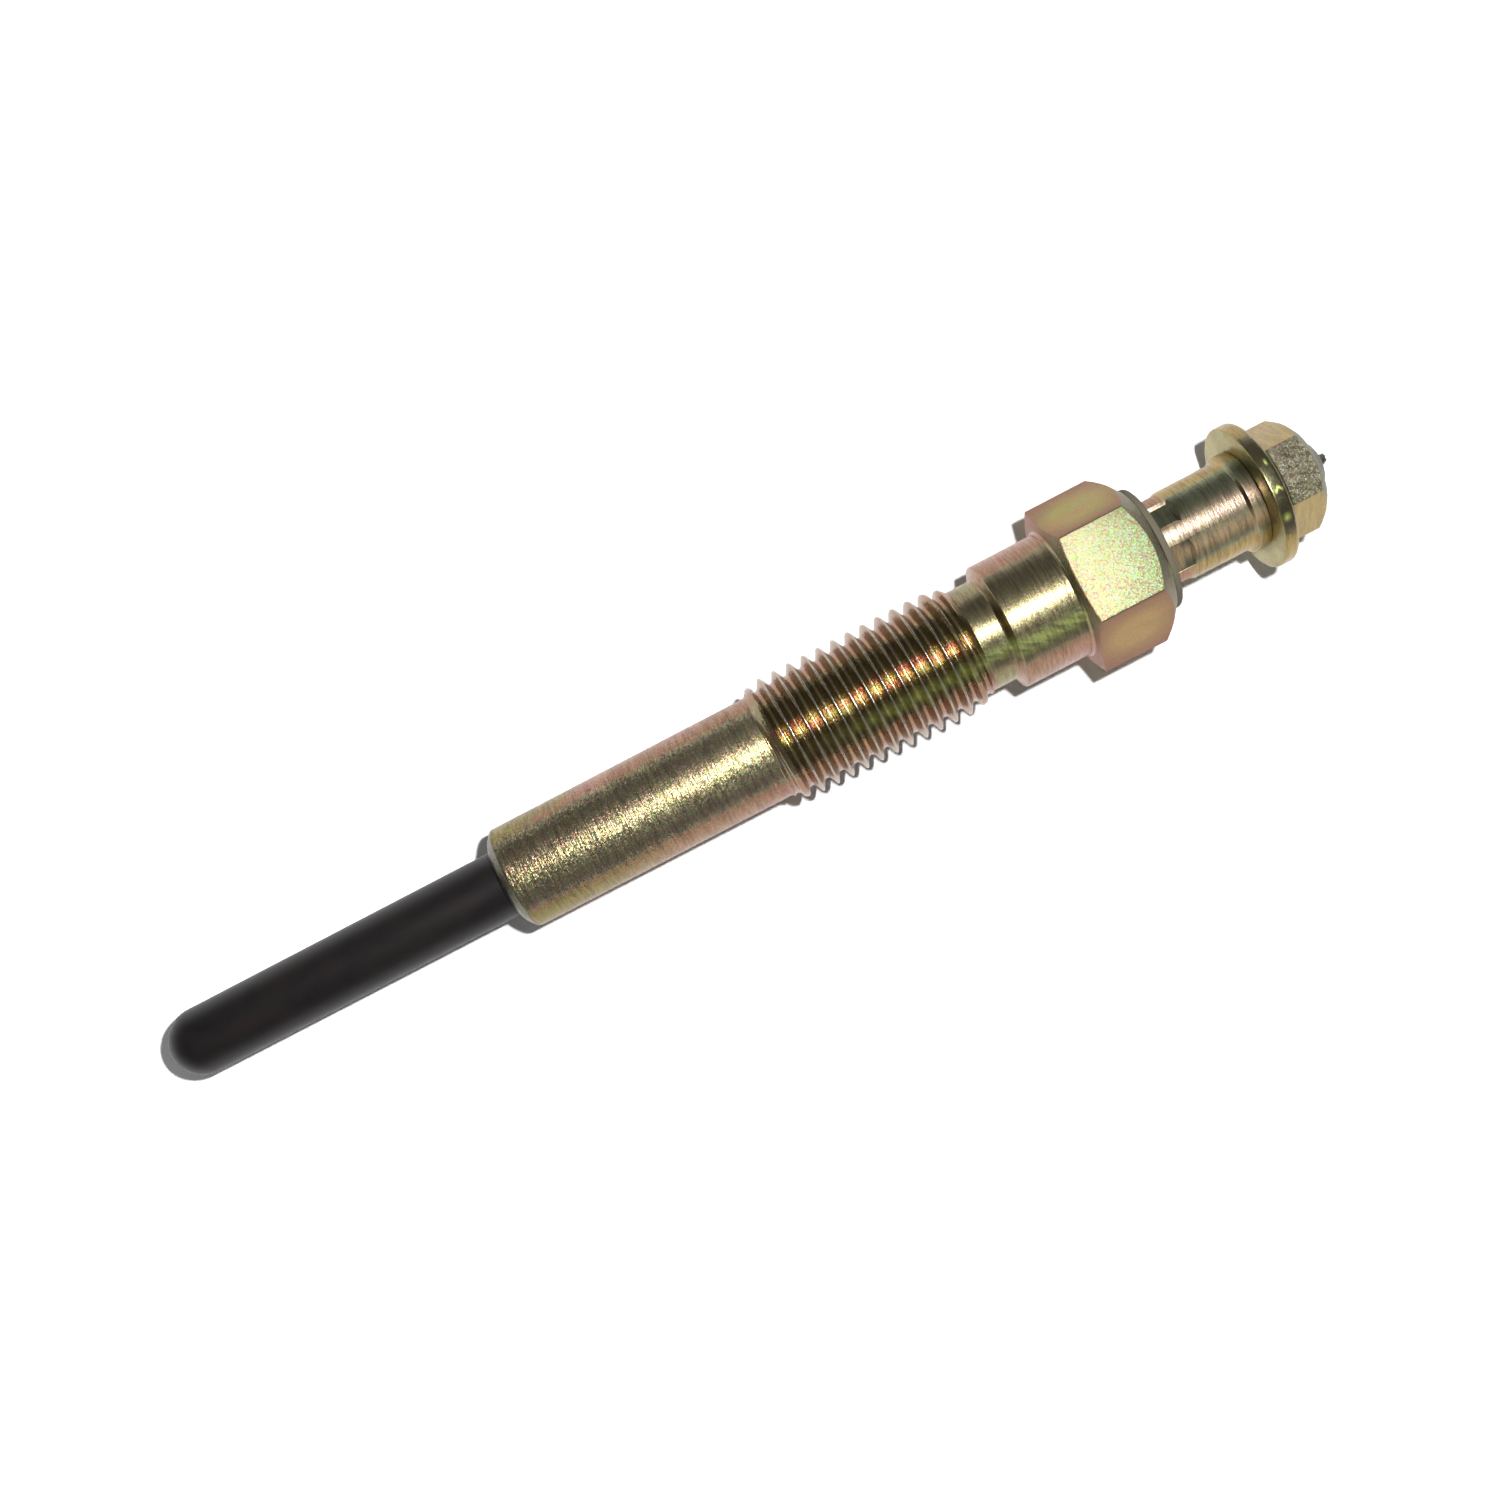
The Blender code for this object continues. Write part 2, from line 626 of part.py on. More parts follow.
def nut_bore(parent):
    """The flange nut's hole, with a countersink at each end."""
    wide = STUD_HOLE_RADIUS + NUT_BORE_CHAMFER + OVERRUN
    outline = [
        (-OVERRUN, 0.0),
        (-OVERRUN, wide),
        (NUT_BORE_CHAMFER, STUD_HOLE_RADIUS),
        (NUT_HEIGHT - NUT_BORE_CHAMFER, STUD_HOLE_RADIUS),
        (NUT_HEIGHT + OVERRUN, wide),
        (NUT_HEIGHT + OVERRUN, 0.0),
    ]
    return turned("nut_bore", outline, parent, FLANGE_NUT_START)


def make_flange_nut(parent):
    """The nut that clamps the supply bar: a hexagon on a flange with a conical top."""
    rim = NUT_FLANGE_DIAMETER / 2
    core = NUT_ACROSS_FLATS / 2 - OVERRUN
    cone_top = NUT_FLANGE_RIM + (rim - core) * math.tan(NUT_FLANGE_CONE_ANGLE)
    outline = [
        (0, 0.0),
        (0, rim),
        (NUT_FLANGE_RIM, rim),
        (cone_top, core),
        (cone_top, 0.0),
    ]
    nut = turned("flange_nut", outline, parent, FLANGE_NUT_START)
    combine(nut, nut_hexagon(parent), "UNION")
    combine(nut, nut_bore(parent), "DIFFERENCE")
    finish(nut, (0.55, 0.48, 0.24), 0.32, 1.0)


def make_glow_plug():
    clear_scene()
    plug = bpy.data.objects.new("glow_plug", None)
    plug.location = (-PLUG_LENGTH / 2, 0, AXIS_HEIGHT)
    bpy.context.scene.collection.objects.link(plug)
    make_housing(plug)
    make_heater_sheath(plug)
    make_heating_coil(plug)
    make_control_coil(plug)
    make_magnesia_filling(plug)
    make_centre_electrode(plug)
    make_sheath_seal(plug)
    make_seal_ring(plug)
    make_insulating_bush(plug)
    make_round_nut(plug)
    make_flange_nut(plug)


make_glow_plug()
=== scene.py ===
"""Looks of the glow plug: fine edges and a rounded thread, with plated, oxidised and moulded finishes.

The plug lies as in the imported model, with its axis along X. Places along it are in millimetres
from the housing's nose, where the heater's tip lies below nought, and radii are from its axis.
"""

import math
import random

import bmesh
import bpy
from mathutils import Matrix, Vector


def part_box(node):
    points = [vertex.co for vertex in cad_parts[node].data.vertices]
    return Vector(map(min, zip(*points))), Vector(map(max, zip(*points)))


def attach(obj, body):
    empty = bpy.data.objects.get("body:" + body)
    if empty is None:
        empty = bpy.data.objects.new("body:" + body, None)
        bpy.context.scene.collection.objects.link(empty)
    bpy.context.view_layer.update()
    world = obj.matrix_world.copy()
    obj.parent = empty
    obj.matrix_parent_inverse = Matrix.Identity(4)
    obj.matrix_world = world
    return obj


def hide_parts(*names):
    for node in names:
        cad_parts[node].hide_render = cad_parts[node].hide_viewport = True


MM = 0.001

# Heater sheath
TIP = -28.84
SHEATH_RADIUS = 2.65
SHEATH_BORE_RADIUS = 2.1
SHEATH_TIP_WALL = 0.9
SHEATH_TOP = 17.5

# Housing
NOSE = 0.0
NOSE_LENGTH = 0.85
NOSE_LIP_LENGTH = 0.02
NOSE_LIP_RADIUS = 2.80
NOSE_CONE_LENGTH = 0.27
NOSE_CONE_RADIUS = 3.42
SHANK_RADIUS = 4.1
CORE_RADIUS = 4.04
BORE_RADIUS = 3.1
SHEATH_HOLE_RADIUS = 2.75
SHEATH_TOP_GAP = 0.05
THREAD_START = 22.43
THREAD_END = 39.57
SHOULDER = 41.55
COLLAR_RADIUS = 5.0
COLLAR_CONE_LENGTH = 0.38
COLLAR_FILLET = 0.25
FILLET_MIDDLE = 0.29
HEX_START = 47.35
HEX_ACROSS_FLATS = 11.75
HEX_CORNER_RADIUS = 6.784
HEX_CONE_LENGTH = 0.34
HEX_CHAMFER_ANGLE = math.radians(51.5)
HEX_EDGE = 0.14
HEAD_OVERLAP = 1.0
HEAD_BORE_GAP = 0.1
HEAD_FACE_RADIUS = 4.93
HEAD_END = 54.22
COUNTERBORE_RADIUS = 4.0
COUNTERBORE_FLOOR = 50.22

# Thread
CREST_RADIUS = 4.925
ROOT_RADIUS = 4.15
PITCH = 1.25
FIRST_CREST = 24.43
PITCHES_BEFORE_CREST = 2.5
CREST_ROUNDING = 0.11
ROOT_ROUNDING = 0.26
FLANK_ANGLE = math.radians(30)
THREAD_TURNS = 17
RUN_OUT_RADIUS = 4.6
BURIED_DEPTH = 0.25
BURIED_LENGTH = 0.15
EDGE_INSET = 0.02
CORE_INSET = 0.10

# Terminal
BUSH_START = 54.23
BUSH_END = 54.73
BUSH_RADIUS = 4.9
BUSH_FOOT = 51.62
BUSH_CLEARANCE = 0.1
ROUND_NUT_START = 54.78
ROUND_NUT_END = 62.62
ROUND_NUT_RADIUS = 3.525
ROUND_NUT_COLLAR_RADIUS = 3.88
ROUND_NUT_COLLAR_START = 61.48
ROUND_NUT_COLLAR_CONE = 0.15
STUD_HOLE_RADIUS = 2.6
STAKE_COUNT = 6
STAKE_FIRST_ANGLE = 28
STAKE_LENGTH = 1.78
STAKE_DEPTH = 0.22
STAKE_HALF_WIDTH = 1.08
FIRST_STAKE_DEPTH = 0.34
FIRST_STAKE_HALF_WIDTH = 0.82
STAKE_SIDE_SLOPE = 1.73
STAKE_END_SLOPE = 1.1
STAKE_EDGE = 0.05
PUNCH_HEIGHT = 1.0
FLANGE_NUT_START = 62.63
FLANGE_NUT_HEIGHT = 4.87
FLANGE_RADIUS = 5.7
FLANGE_RIM = 1.08
FLANGE_CONE_ANGLE = math.radians(24)
NUT_ACROSS_FLATS = 7.8
NUT_HEXAGON_INSET = 0.4
NUT_CROWN_ANGLE = math.radians(36)
NUT_CROWN_FACE_RADIUS = 3.3
NUT_CROWN_INSET = 0.3
NUT_CHAMFER = 0.3
NUT_EDGE = 0.08

# Electrode, from its inner end out to the stud
PIN_START = -6.03
PIN_RADIUS = 1.055
ROD_START = -3.03
ROD_RADIUS = 1.25
ROD_END = 18.7
SHAFT_START = 19.9
SHAFT_RADIUS = 1.9
SHAFT_END = 47.82
STUD_START = 49.02
STUD_RADIUS = 2.5
STUD_CHAMFER = 1.0
STUD_EASE = 0.12
STUD_FACE = 68.5

# The nub at the stud's end: its section, as places beyond the stud's face and radii, and its roughness
NUB_SECTION = [
    (-0.1, 0.0), (-0.1, 0.65), (0.12, 0.58), (0.35, 0.50),
    (0.58, 0.42), (0.76, 0.34), (0.84, 0.2), (0.87, 0.0),
]
NUB_FOOT = 0.05
NUB_SHAKE = 0.05
NUB_SEED = 7

# Facets
ROUND_STEPS = 128
STUD_STEPS = 96
NUB_STEPS = 24
TIP_STEPS = 20
TIP_BORE_STEPS = 12
EASE_STEPS = 4
FLANK_STEPS = 4

# How far a cutting tool reaches past what it cuts, and the core of one that turns about the axis
MARGIN = 0.2
OVERCUT = 0.5
TOOL_CORE = 0.5

# Points nearer than this are one, in metres
JOIN_WITHIN = 1e-7
THREAD_JOIN_WITHIN = 1e-6

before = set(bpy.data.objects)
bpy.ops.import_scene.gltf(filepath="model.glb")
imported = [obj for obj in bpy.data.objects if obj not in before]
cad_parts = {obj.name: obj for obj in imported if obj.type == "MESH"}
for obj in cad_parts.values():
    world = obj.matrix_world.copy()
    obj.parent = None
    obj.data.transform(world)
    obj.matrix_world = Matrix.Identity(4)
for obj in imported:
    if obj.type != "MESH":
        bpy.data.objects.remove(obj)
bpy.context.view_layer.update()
NOSE_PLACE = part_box("housing")[0].x
AXIS_HEIGHT = (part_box("housing")[0].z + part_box("housing")[1].z) / 2


def at(along, radius=0.0):
    """A point straight above the plug's axis."""
    return Vector((NOSE_PLACE + along * MM, 0, AXIS_HEIGHT + radius * MM))


def pick_up(*pieces):
    """Selects these pieces alone, the last one active."""
    for piece in list(bpy.context.selected_objects):
        piece.select_set(False)
    for piece in pieces:
        piece.select_set(True)
        bpy.context.view_layer.objects.active = piece


def put_down(piece, name, sharp_degrees=35):
    """Names a piece, leaves its place in its mesh and shades it smooth between its edges."""
    piece.name = name
    piece.data.name = name
    pick_up(piece)
    bpy.ops.object.transform_apply(location=True, rotation=True, scale=True)
    bpy.ops.object.shade_smooth_by_angle(angle=math.radians(sharp_degrees))
    return piece


def work(piece, kind, **settings):
    """Adds a modifier to a piece and applies it."""
    pick_up(piece)
    modifier = piece.modifiers.new(kind.lower(), kind)
    for name, value in settings.items():
        setattr(modifier, name, value)
    bpy.ops.object.modifier_apply(modifier=modifier.name)
    return piece


def cut(piece, tool, operation="DIFFERENCE"):
    """Cuts, joins or intersects a piece with a tool, which is then thrown away."""
    work(piece, "BOOLEAN", operation=operation, solver="EXACT", object=tool)
    bpy.data.objects.remove(tool, do_unlink=True)
    return piece


def round_edges(piece, width, segments, degrees):
    """Rounds the edges of a piece that turn by more than these degrees."""
    limit = math.radians(degrees)
    settings = {"width": width * MM, "segments": segments, "angle_limit": limit}
    return work(piece, "BEVEL", limit_method="ANGLE", **settings)


def join(name, *pieces):
    """Makes one piece of several."""
    pick_up(*pieces)
    bpy.ops.object.join()
    return put_down(bpy.context.view_layer.objects.active, name)


def eased(corners):
    """A closed outline of (along, radius) points. A third number rounds its corner by that much."""
    outline = []
    for index, corner in enumerate(corners):
        here = Vector(corner[:2])
        if len(corner) == 2:
            outline.append(here)
            continue
        before = Vector(corners[index - 1][:2])
        after = Vector(corners[(index + 1) % len(corners)][:2])
        start = here + (before - here).normalized() * corner[2]
        end = here + (after - here).normalized() * corner[2]
        for step in range(EASE_STEPS + 1):
            part = step / EASE_STEPS
            near = start.lerp(here, part)
            far = here.lerp(end, part)
            outline.append(near.lerp(far, part))
    return outline


def draw(outline):
    """A line of edges above the axis: one point, drawn out along the outline."""
    first = at(*outline[0])
    pick_up()
    bpy.ops.mesh.primitive_plane_add(size=MM, location=first)
    bpy.ops.object.mode_set(mode="EDIT")
    bpy.ops.mesh.merge(type="CENTER")
    for before, after in zip(outline, outline[1:]):
        stride = at(*after) - at(*before)
        bpy.ops.mesh.extrude_vertices_move(TRANSFORM_OT_translate={"value": stride})
    bpy.ops.object.mode_set(mode="OBJECT")
    return bpy.context.view_layer.objects.active


def turn(name, outline, steps=ROUND_STEPS):
    """A piece turned about the plug's axis from its section."""
    piece = draw(outline)
    bpy.ops.object.mode_set(mode="EDIT")
    bpy.ops.mesh.select_all(action="SELECT")
    bpy.ops.mesh.spin(steps=steps, angle=math.tau, center=at(0), axis=(1, 0, 0))
    bpy.ops.mesh.select_all(action="SELECT")
    bpy.ops.mesh.remove_doubles(threshold=JOIN_WITHIN)
    bpy.ops.mesh.normals_make_consistent(inside=False)
    bpy.ops.object.mode_set(mode="OBJECT")
    return put_down(piece, name)


def turn_ring(name, corners, steps=ROUND_STEPS):
    """A turned piece with a hole, whose section closes on itself."""
    outline = eased(corners)
    return turn(name, outline + outline[:1], steps)


def quarter(centre, radius, start_degrees, end_degrees, steps):
    """Points of an arc about a place on the axis: 180 degrees points towards the tip."""
    points = []
    for step in range(steps + 1):
        angle = math.radians(start_degrees + (end_degrees - start_degrees) * step / steps)
        points.append(Vector((centre + radius * math.cos(angle), radius * math.sin(angle))))
    return points


def hexagon_bar(start, length, across_flats):
    """A hexagonal bar about the axis with two flats level."""
    middle = at(start + length / 2)
    corner = across_flats / 2 / math.cos(math.pi / 6) * MM
    pick_up()
    bpy.ops.mesh.primitive_cylinder_add(
        vertices=6, radius=corner, depth=length * MM, location=middle, rotation=(0, math.pi / 2, 0)
    )
    return put_down(bpy.context.view_layer.objects.active, "bar")


def thread_section():
    """One pitch of the thread, from root to root, with its root and crest rounded."""
    middle = PITCH / 2
    points = []
    for step in range(EASE_STEPS + 1):
        angle = (math.pi / 2 - FLANK_ANGLE) * step / EASE_STEPS
        along = ROOT_ROUNDING * math.sin(angle)
        points.append((along, ROOT_RADIUS + ROOT_ROUNDING * (1 - math.cos(angle))))
    foot = Vector(points[-1])
    crest = []
    for step in range(EASE_STEPS + 1):
        angle = (math.pi / 2 - FLANK_ANGLE) * (1 - step / EASE_STEPS)
        along = middle - CREST_ROUNDING * math.sin(angle)
        crest.append((along, CREST_RADIUS - CREST_ROUNDING * (1 - math.cos(angle))))
    head = Vector(crest[0])
    for step in range(1, FLANK_STEPS):
        points.append(tuple(foot.lerp(head, step / FLANK_STEPS)))
    points += crest
    mirrored = [(PITCH - along, radius) for along, radius in reversed(points[:-1])]
    return points + mirrored


def thread_limit(along):
    """The greatest radius of the thread at a place, where its crests die away at both ends."""
    buried = CORE_RADIUS - BURIED_DEPTH
    level = SHANK_RADIUS + EDGE_INSET
    stops = [
        (THREAD_START - BURIED_LENGTH, buried),
        (THREAD_START + EDGE_INSET, level),
        (THREAD_START + 0.64, RUN_OUT_RADIUS),
        (THREAD_START + 1.59, CREST_RADIUS),
        (THREAD_END - 2.1, CREST_RADIUS),
        (THREAD_END - 0.5, RUN_OUT_RADIUS),
        (THREAD_END - EDGE_INSET, level),
        (THREAD_END + BURIED_LENGTH, buried),
    ]
    if along <= stops[0][0] or along >= stops[-1][0]:
        return buried
    for before, after in zip(stops, stops[1:]):
        if along <= after[0]:
            part = (along - before[0]) / (after[0] - before[0])
            return before[1] + (after[1] - before[1]) * part


def make_thread():
    """The rolled thread: its section is screwed along the axis, then held under its limits."""
    start = FIRST_CREST - PITCH * PITCHES_BEFORE_CREST
    thread = draw([(start + along, radius) for along, radius in thread_section()])
    pick_up(thread)
    bpy.context.scene.cursor.location = at(start)
    bpy.ops.object.origin_set(type="ORIGIN_CURSOR")
    work(
        thread,
        "SCREW",
        axis="X",
        angle=math.tau,
        screw_offset=PITCH * MM,
        iterations=THREAD_TURNS,
        steps=ROUND_STEPS,
        render_steps=ROUND_STEPS,
        use_merge_vertices=True,
        merge_threshold=JOIN_WITHIN,
    )
    put_down(thread, "thread")
    for vertex in thread.data.vertices:
        along = (vertex.co.x - NOSE_PLACE) / MM
        reach = Vector((vertex.co.y, vertex.co.z - AXIS_HEIGHT)).length / MM
        share = min(1, thread_limit(along) / reach)
        vertex.co.y *= share
        vertex.co.z = AXIS_HEIGHT + (vertex.co.z - AXIS_HEIGHT) * share
    bpy.ops.object.mode_set(mode="EDIT")
    bpy.ops.mesh.select_all(action="SELECT")
    bpy.ops.mesh.remove_doubles(threshold=THREAD_JOIN_WITHIN)
    bpy.ops.mesh.select_all(action="SELECT")
    bpy.ops.mesh.fill_holes(sides=0)
    bpy.ops.mesh.select_all(action="SELECT")
    bpy.ops.mesh.normals_make_consistent(inside=False)
    bpy.ops.object.mode_set(mode="OBJECT")
    return put_down(thread, "thread", sharp_degrees=40)


def make_head():
    """The housing's hexagon, turned to a cone at its back and chamfered at its outer end."""
    blank = HEX_CORNER_RADIUS + MARGIN
    inner = BORE_RADIUS + HEAD_BORE_GAP
    bulge = COLLAR_FILLET * FILLET_MIDDLE
    cone = HEX_CONE_LENGTH / (HEX_CORNER_RADIUS - COLLAR_RADIUS)
    chamfer = (blank - HEAD_FACE_RADIUS) / math.tan(HEX_CHAMFER_ANGLE)
    head = hexagon_bar(HEX_START - OVERCUT, HEAD_END - HEX_START + OVERCUT * 2, HEX_ACROSS_FLATS)
    turned_blank = turn_ring(
        "blank",
        [
            (HEX_START - COLLAR_FILLET, inner),
            (HEX_START - COLLAR_FILLET, COLLAR_RADIUS),
            (HEX_START - bulge, COLLAR_RADIUS + bulge),
            (HEX_START, COLLAR_RADIUS + COLLAR_FILLET),
            (HEX_START + (blank - COLLAR_RADIUS) * cone, blank),
            (HEAD_END - chamfer, blank),
            (HEAD_END, HEAD_FACE_RADIUS),
            (HEAD_END, COUNTERBORE_RADIUS),
            (COUNTERBORE_FLOOR, COUNTERBORE_RADIUS),
            (COUNTERBORE_FLOOR, inner),
        ],
    )
    cut(head, turned_blank, "INTERSECT")
    round_edges(head, HEX_EDGE, 3, 24)
    return put_down(head, "head")


def make_housing():
    """The plated steel body."""
    body = turn_ring(
        "body",
        [
            (NOSE, SHEATH_HOLE_RADIUS),
            (NOSE + NOSE_LIP_LENGTH, NOSE_LIP_RADIUS, 0.03),
            (NOSE + NOSE_CONE_LENGTH, NOSE_CONE_RADIUS, 0.18),
            (NOSE + NOSE_LENGTH, SHANK_RADIUS, 0.14),
            (THREAD_START + EDGE_INSET, SHANK_RADIUS, 0.03),
            (THREAD_START + CORE_INSET, CORE_RADIUS),
            (THREAD_END - CORE_INSET, CORE_RADIUS),
            (THREAD_END - EDGE_INSET, SHANK_RADIUS, 0.03),
            (SHOULDER, SHANK_RADIUS, 0.10),
            (SHOULDER + COLLAR_CONE_LENGTH, COLLAR_RADIUS, 0.08),
            (HEX_START + HEAD_OVERLAP, COLLAR_RADIUS),
            (HEX_START + HEAD_OVERLAP, BORE_RADIUS),
            (SHEATH_TOP + SHEATH_TOP_GAP, BORE_RADIUS),
            (SHEATH_TOP + SHEATH_TOP_GAP, SHEATH_HOLE_RADIUS),
        ],
    )
    return join("housing_body", make_thread(), make_head(), body)


def make_sheath():
    """The oxidised tube with its round closed tip."""
    outline = quarter(TIP + SHEATH_RADIUS, SHEATH_RADIUS, 180, 90, TIP_STEPS)
    outline += [Vector((SHEATH_TOP, SHEATH_RADIUS)), Vector((SHEATH_TOP, SHEATH_BORE_RADIUS))]
    bore_end = TIP + SHEATH_TIP_WALL + SHEATH_BORE_RADIUS
    outline += quarter(bore_end, SHEATH_BORE_RADIUS, 90, 180, TIP_BORE_STEPS)
    return turn("sheath_tube", outline)


def make_bush():
    """The moulded bush, whose thin flange shows under the terminal nut."""
    spigot = COUNTERBORE_RADIUS - BUSH_CLEARANCE
    return turn_ring(
        "bush_moulding",
        [
            (BUSH_FOOT, STUD_HOLE_RADIUS),
            (BUSH_FOOT, spigot),
            (BUSH_START, spigot),
            (BUSH_START, BUSH_RADIUS, 0.03),
            (BUSH_END, BUSH_RADIUS, 0.16),
            (BUSH_END, STUD_HOLE_RADIUS),
        ],
    )


def stake_tool(degrees, depth, half_width):
    """A punch that flattens one side of the round nut, with sides and an end that slope out."""
    middle = at(ROUND_NUT_START, ROUND_NUT_RADIUS - depth + PUNCH_HEIGHT / 2)
    pick_up()
    bpy.ops.mesh.primitive_cube_add(size=1, location=middle)
    tool = bpy.context.view_layer.objects.active
    tool.scale = (STAKE_LENGTH * 2 * MM, half_width * 2 * MM, PUNCH_HEIGHT * MM)
    bpy.ops.object.transform_apply(scale=True)
    bpy.ops.object.mode_set(mode="EDIT")
    shape = bmesh.from_edit_mesh(tool.data)
    for vertex in shape.verts:
        if vertex.co.z > middle.z:
            vertex.co.x += STAKE_END_SLOPE * PUNCH_HEIGHT * MM
            vertex.co.y += math.copysign(STAKE_SIDE_SLOPE * PUNCH_HEIGHT * MM, vertex.co.y)
    bmesh.update_edit_mesh(tool.data)
    bpy.ops.object.mode_set(mode="OBJECT")
    bpy.context.scene.cursor.location = at(ROUND_NUT_START)
    bpy.ops.object.origin_set(type="ORIGIN_CURSOR")
    tool.rotation_euler.x = -math.radians(degrees)
    return put_down(tool, "punch")


def make_round_nut():
    """The round terminal nut with its staked flats and its collar."""
    nut = turn_ring(
        "nut",
        [
            (ROUND_NUT_START, STUD_HOLE_RADIUS),
            (ROUND_NUT_START, ROUND_NUT_RADIUS, 0.07),
            (ROUND_NUT_COLLAR_START, ROUND_NUT_RADIUS, 0.10),
            (ROUND_NUT_COLLAR_START + ROUND_NUT_COLLAR_CONE, ROUND_NUT_COLLAR_RADIUS, 0.08),
            (ROUND_NUT_END, ROUND_NUT_COLLAR_RADIUS, 0.08),
            (ROUND_NUT_END, STUD_HOLE_RADIUS),
        ],
    )
    for number in range(STAKE_COUNT):
        angle = STAKE_FIRST_ANGLE + 360 / STAKE_COUNT * number
        if number == 0:
            cut(nut, stake_tool(angle, FIRST_STAKE_DEPTH, FIRST_STAKE_HALF_WIDTH))
        else:
            cut(nut, stake_tool(angle, STAKE_DEPTH, STAKE_HALF_WIDTH))
    round_edges(nut, STAKE_EDGE, 2, 20)
    return put_down(nut, "round_nut_staked")


def make_flange_nut():
    """The hexagon nut on its flange, with a crowned end."""
    corner = NUT_ACROSS_FLATS / 2 / math.cos(math.pi / 6)
    end = FLANGE_NUT_START + FLANGE_NUT_HEIGHT
    blank = corner + MARGIN
    core = NUT_ACROSS_FLATS / 2 - MARGIN
    cone_top = FLANGE_RIM + (FLANGE_RADIUS - core) * math.tan(FLANGE_CONE_ANGLE)
    crown = (blank - NUT_CROWN_FACE_RADIUS) * math.tan(NUT_CROWN_ANGLE)
    hexagon = hexagon_bar(FLANGE_NUT_START + NUT_HEXAGON_INSET, FLANGE_NUT_HEIGHT, NUT_ACROSS_FLATS)
    crown_start = FLANGE_NUT_START + NUT_CROWN_INSET
    crown_inner = STUD_HOLE_RADIUS - NUT_CROWN_INSET
    crown_blank = turn_ring(
        "crown",
        [
            (crown_start, crown_inner),
            (crown_start, blank),
            (end - crown, blank),
            (end, NUT_CROWN_FACE_RADIUS),
            (end, crown_inner),
        ],
    )
    cut(hexagon, crown_blank, "INTERSECT")
    flange_inner = STUD_HOLE_RADIUS - NUT_HEXAGON_INSET
    flange = turn_ring(
        "flange",
        [
            (FLANGE_NUT_START, flange_inner),
            (FLANGE_NUT_START, FLANGE_RADIUS, 0.18),
            (FLANGE_NUT_START + FLANGE_RIM, FLANGE_RADIUS, 0.22),
            (FLANGE_NUT_START + cone_top, core),
            (FLANGE_NUT_START + cone_top, flange_inner),
        ],
    )
    cut(flange, hexagon, "UNION")
    mouth = STUD_HOLE_RADIUS + NUT_CHAMFER * 2
    bore = turn_ring(
        "bore",
        [
            (FLANGE_NUT_START - NUT_CHAMFER, TOOL_CORE),
            (FLANGE_NUT_START - NUT_CHAMFER, mouth),
            (FLANGE_NUT_START + NUT_CHAMFER, STUD_HOLE_RADIUS),
            (end - NUT_CHAMFER, STUD_HOLE_RADIUS),
            (end + NUT_CHAMFER, mouth),
            (end + NUT_CHAMFER, TOOL_CORE),
        ],
    )
    cut(flange, bore)
    round_edges(flange, NUT_EDGE, 3, 24)
    return put_down(flange, "flange_nut_plated")


def make_stud():
    """The electrode with its terminal stud, and the rough nub that is left at its end."""
    shuffle = random.Random(NUB_SEED)
    end_radius = STUD_RADIUS - STUD_CHAMFER
    rod = [
        (PIN_START, 0.0),
        (PIN_START, PIN_RADIUS),
        (ROD_START, PIN_RADIUS),
        (ROD_START, ROD_RADIUS),
        (ROD_END, ROD_RADIUS),
        (SHAFT_START, SHAFT_RADIUS),
        (SHAFT_END, SHAFT_RADIUS),
        (STUD_START, STUD_RADIUS),
        (STUD_FACE - STUD_CHAMFER, STUD_RADIUS),
        (STUD_FACE - STUD_EASE, end_radius + STUD_EASE),
        (STUD_FACE, end_radius - STUD_EASE),
        (STUD_FACE, 0.0),
    ]
    stud = turn("stud", eased(rod), STUD_STEPS)
    nub_outline = [(STUD_FACE + beyond, radius) for beyond, radius in NUB_SECTION]
    nub = turn("nub", eased(nub_outline), NUB_STEPS)
    for vertex in nub.data.vertices:
        if vertex.co.x > at(STUD_FACE + NUB_FOOT).x:
            vertex.co += Vector([shuffle.uniform(-NUB_SHAKE, NUB_SHAKE) * MM for _ in range(3)])
    return join("terminal_stud", stud, nub)


# Keeps a division clear of nought
TINY = 0.0001


class Amount:
    """A number or colour in a material. Arithmetic on it adds Math nodes."""

    def __init__(self, finish, socket):
        self.finish = finish
        self.socket = socket

    def math(self, operation, first, second):
        return self.finish.node("ShaderNodeMath", {"operation": operation}, {0: first, 1: second})

    def __add__(self, other):
        return self.math("ADD", self, other)

    def __radd__(self, other):
        return self.math("ADD", other, self)

    def __sub__(self, other):
        return self.math("SUBTRACT", self, other)

    def __rsub__(self, other):
        return self.math("SUBTRACT", other, self)

    def __mul__(self, other):
        return self.math("MULTIPLY", self, other)

    def __rmul__(self, other):
        return self.math("MULTIPLY", other, self)

    def __truediv__(self, other):
        return self.math("DIVIDE", self, other)

    def __pow__(self, other):
        return self.math("POWER", self, other)


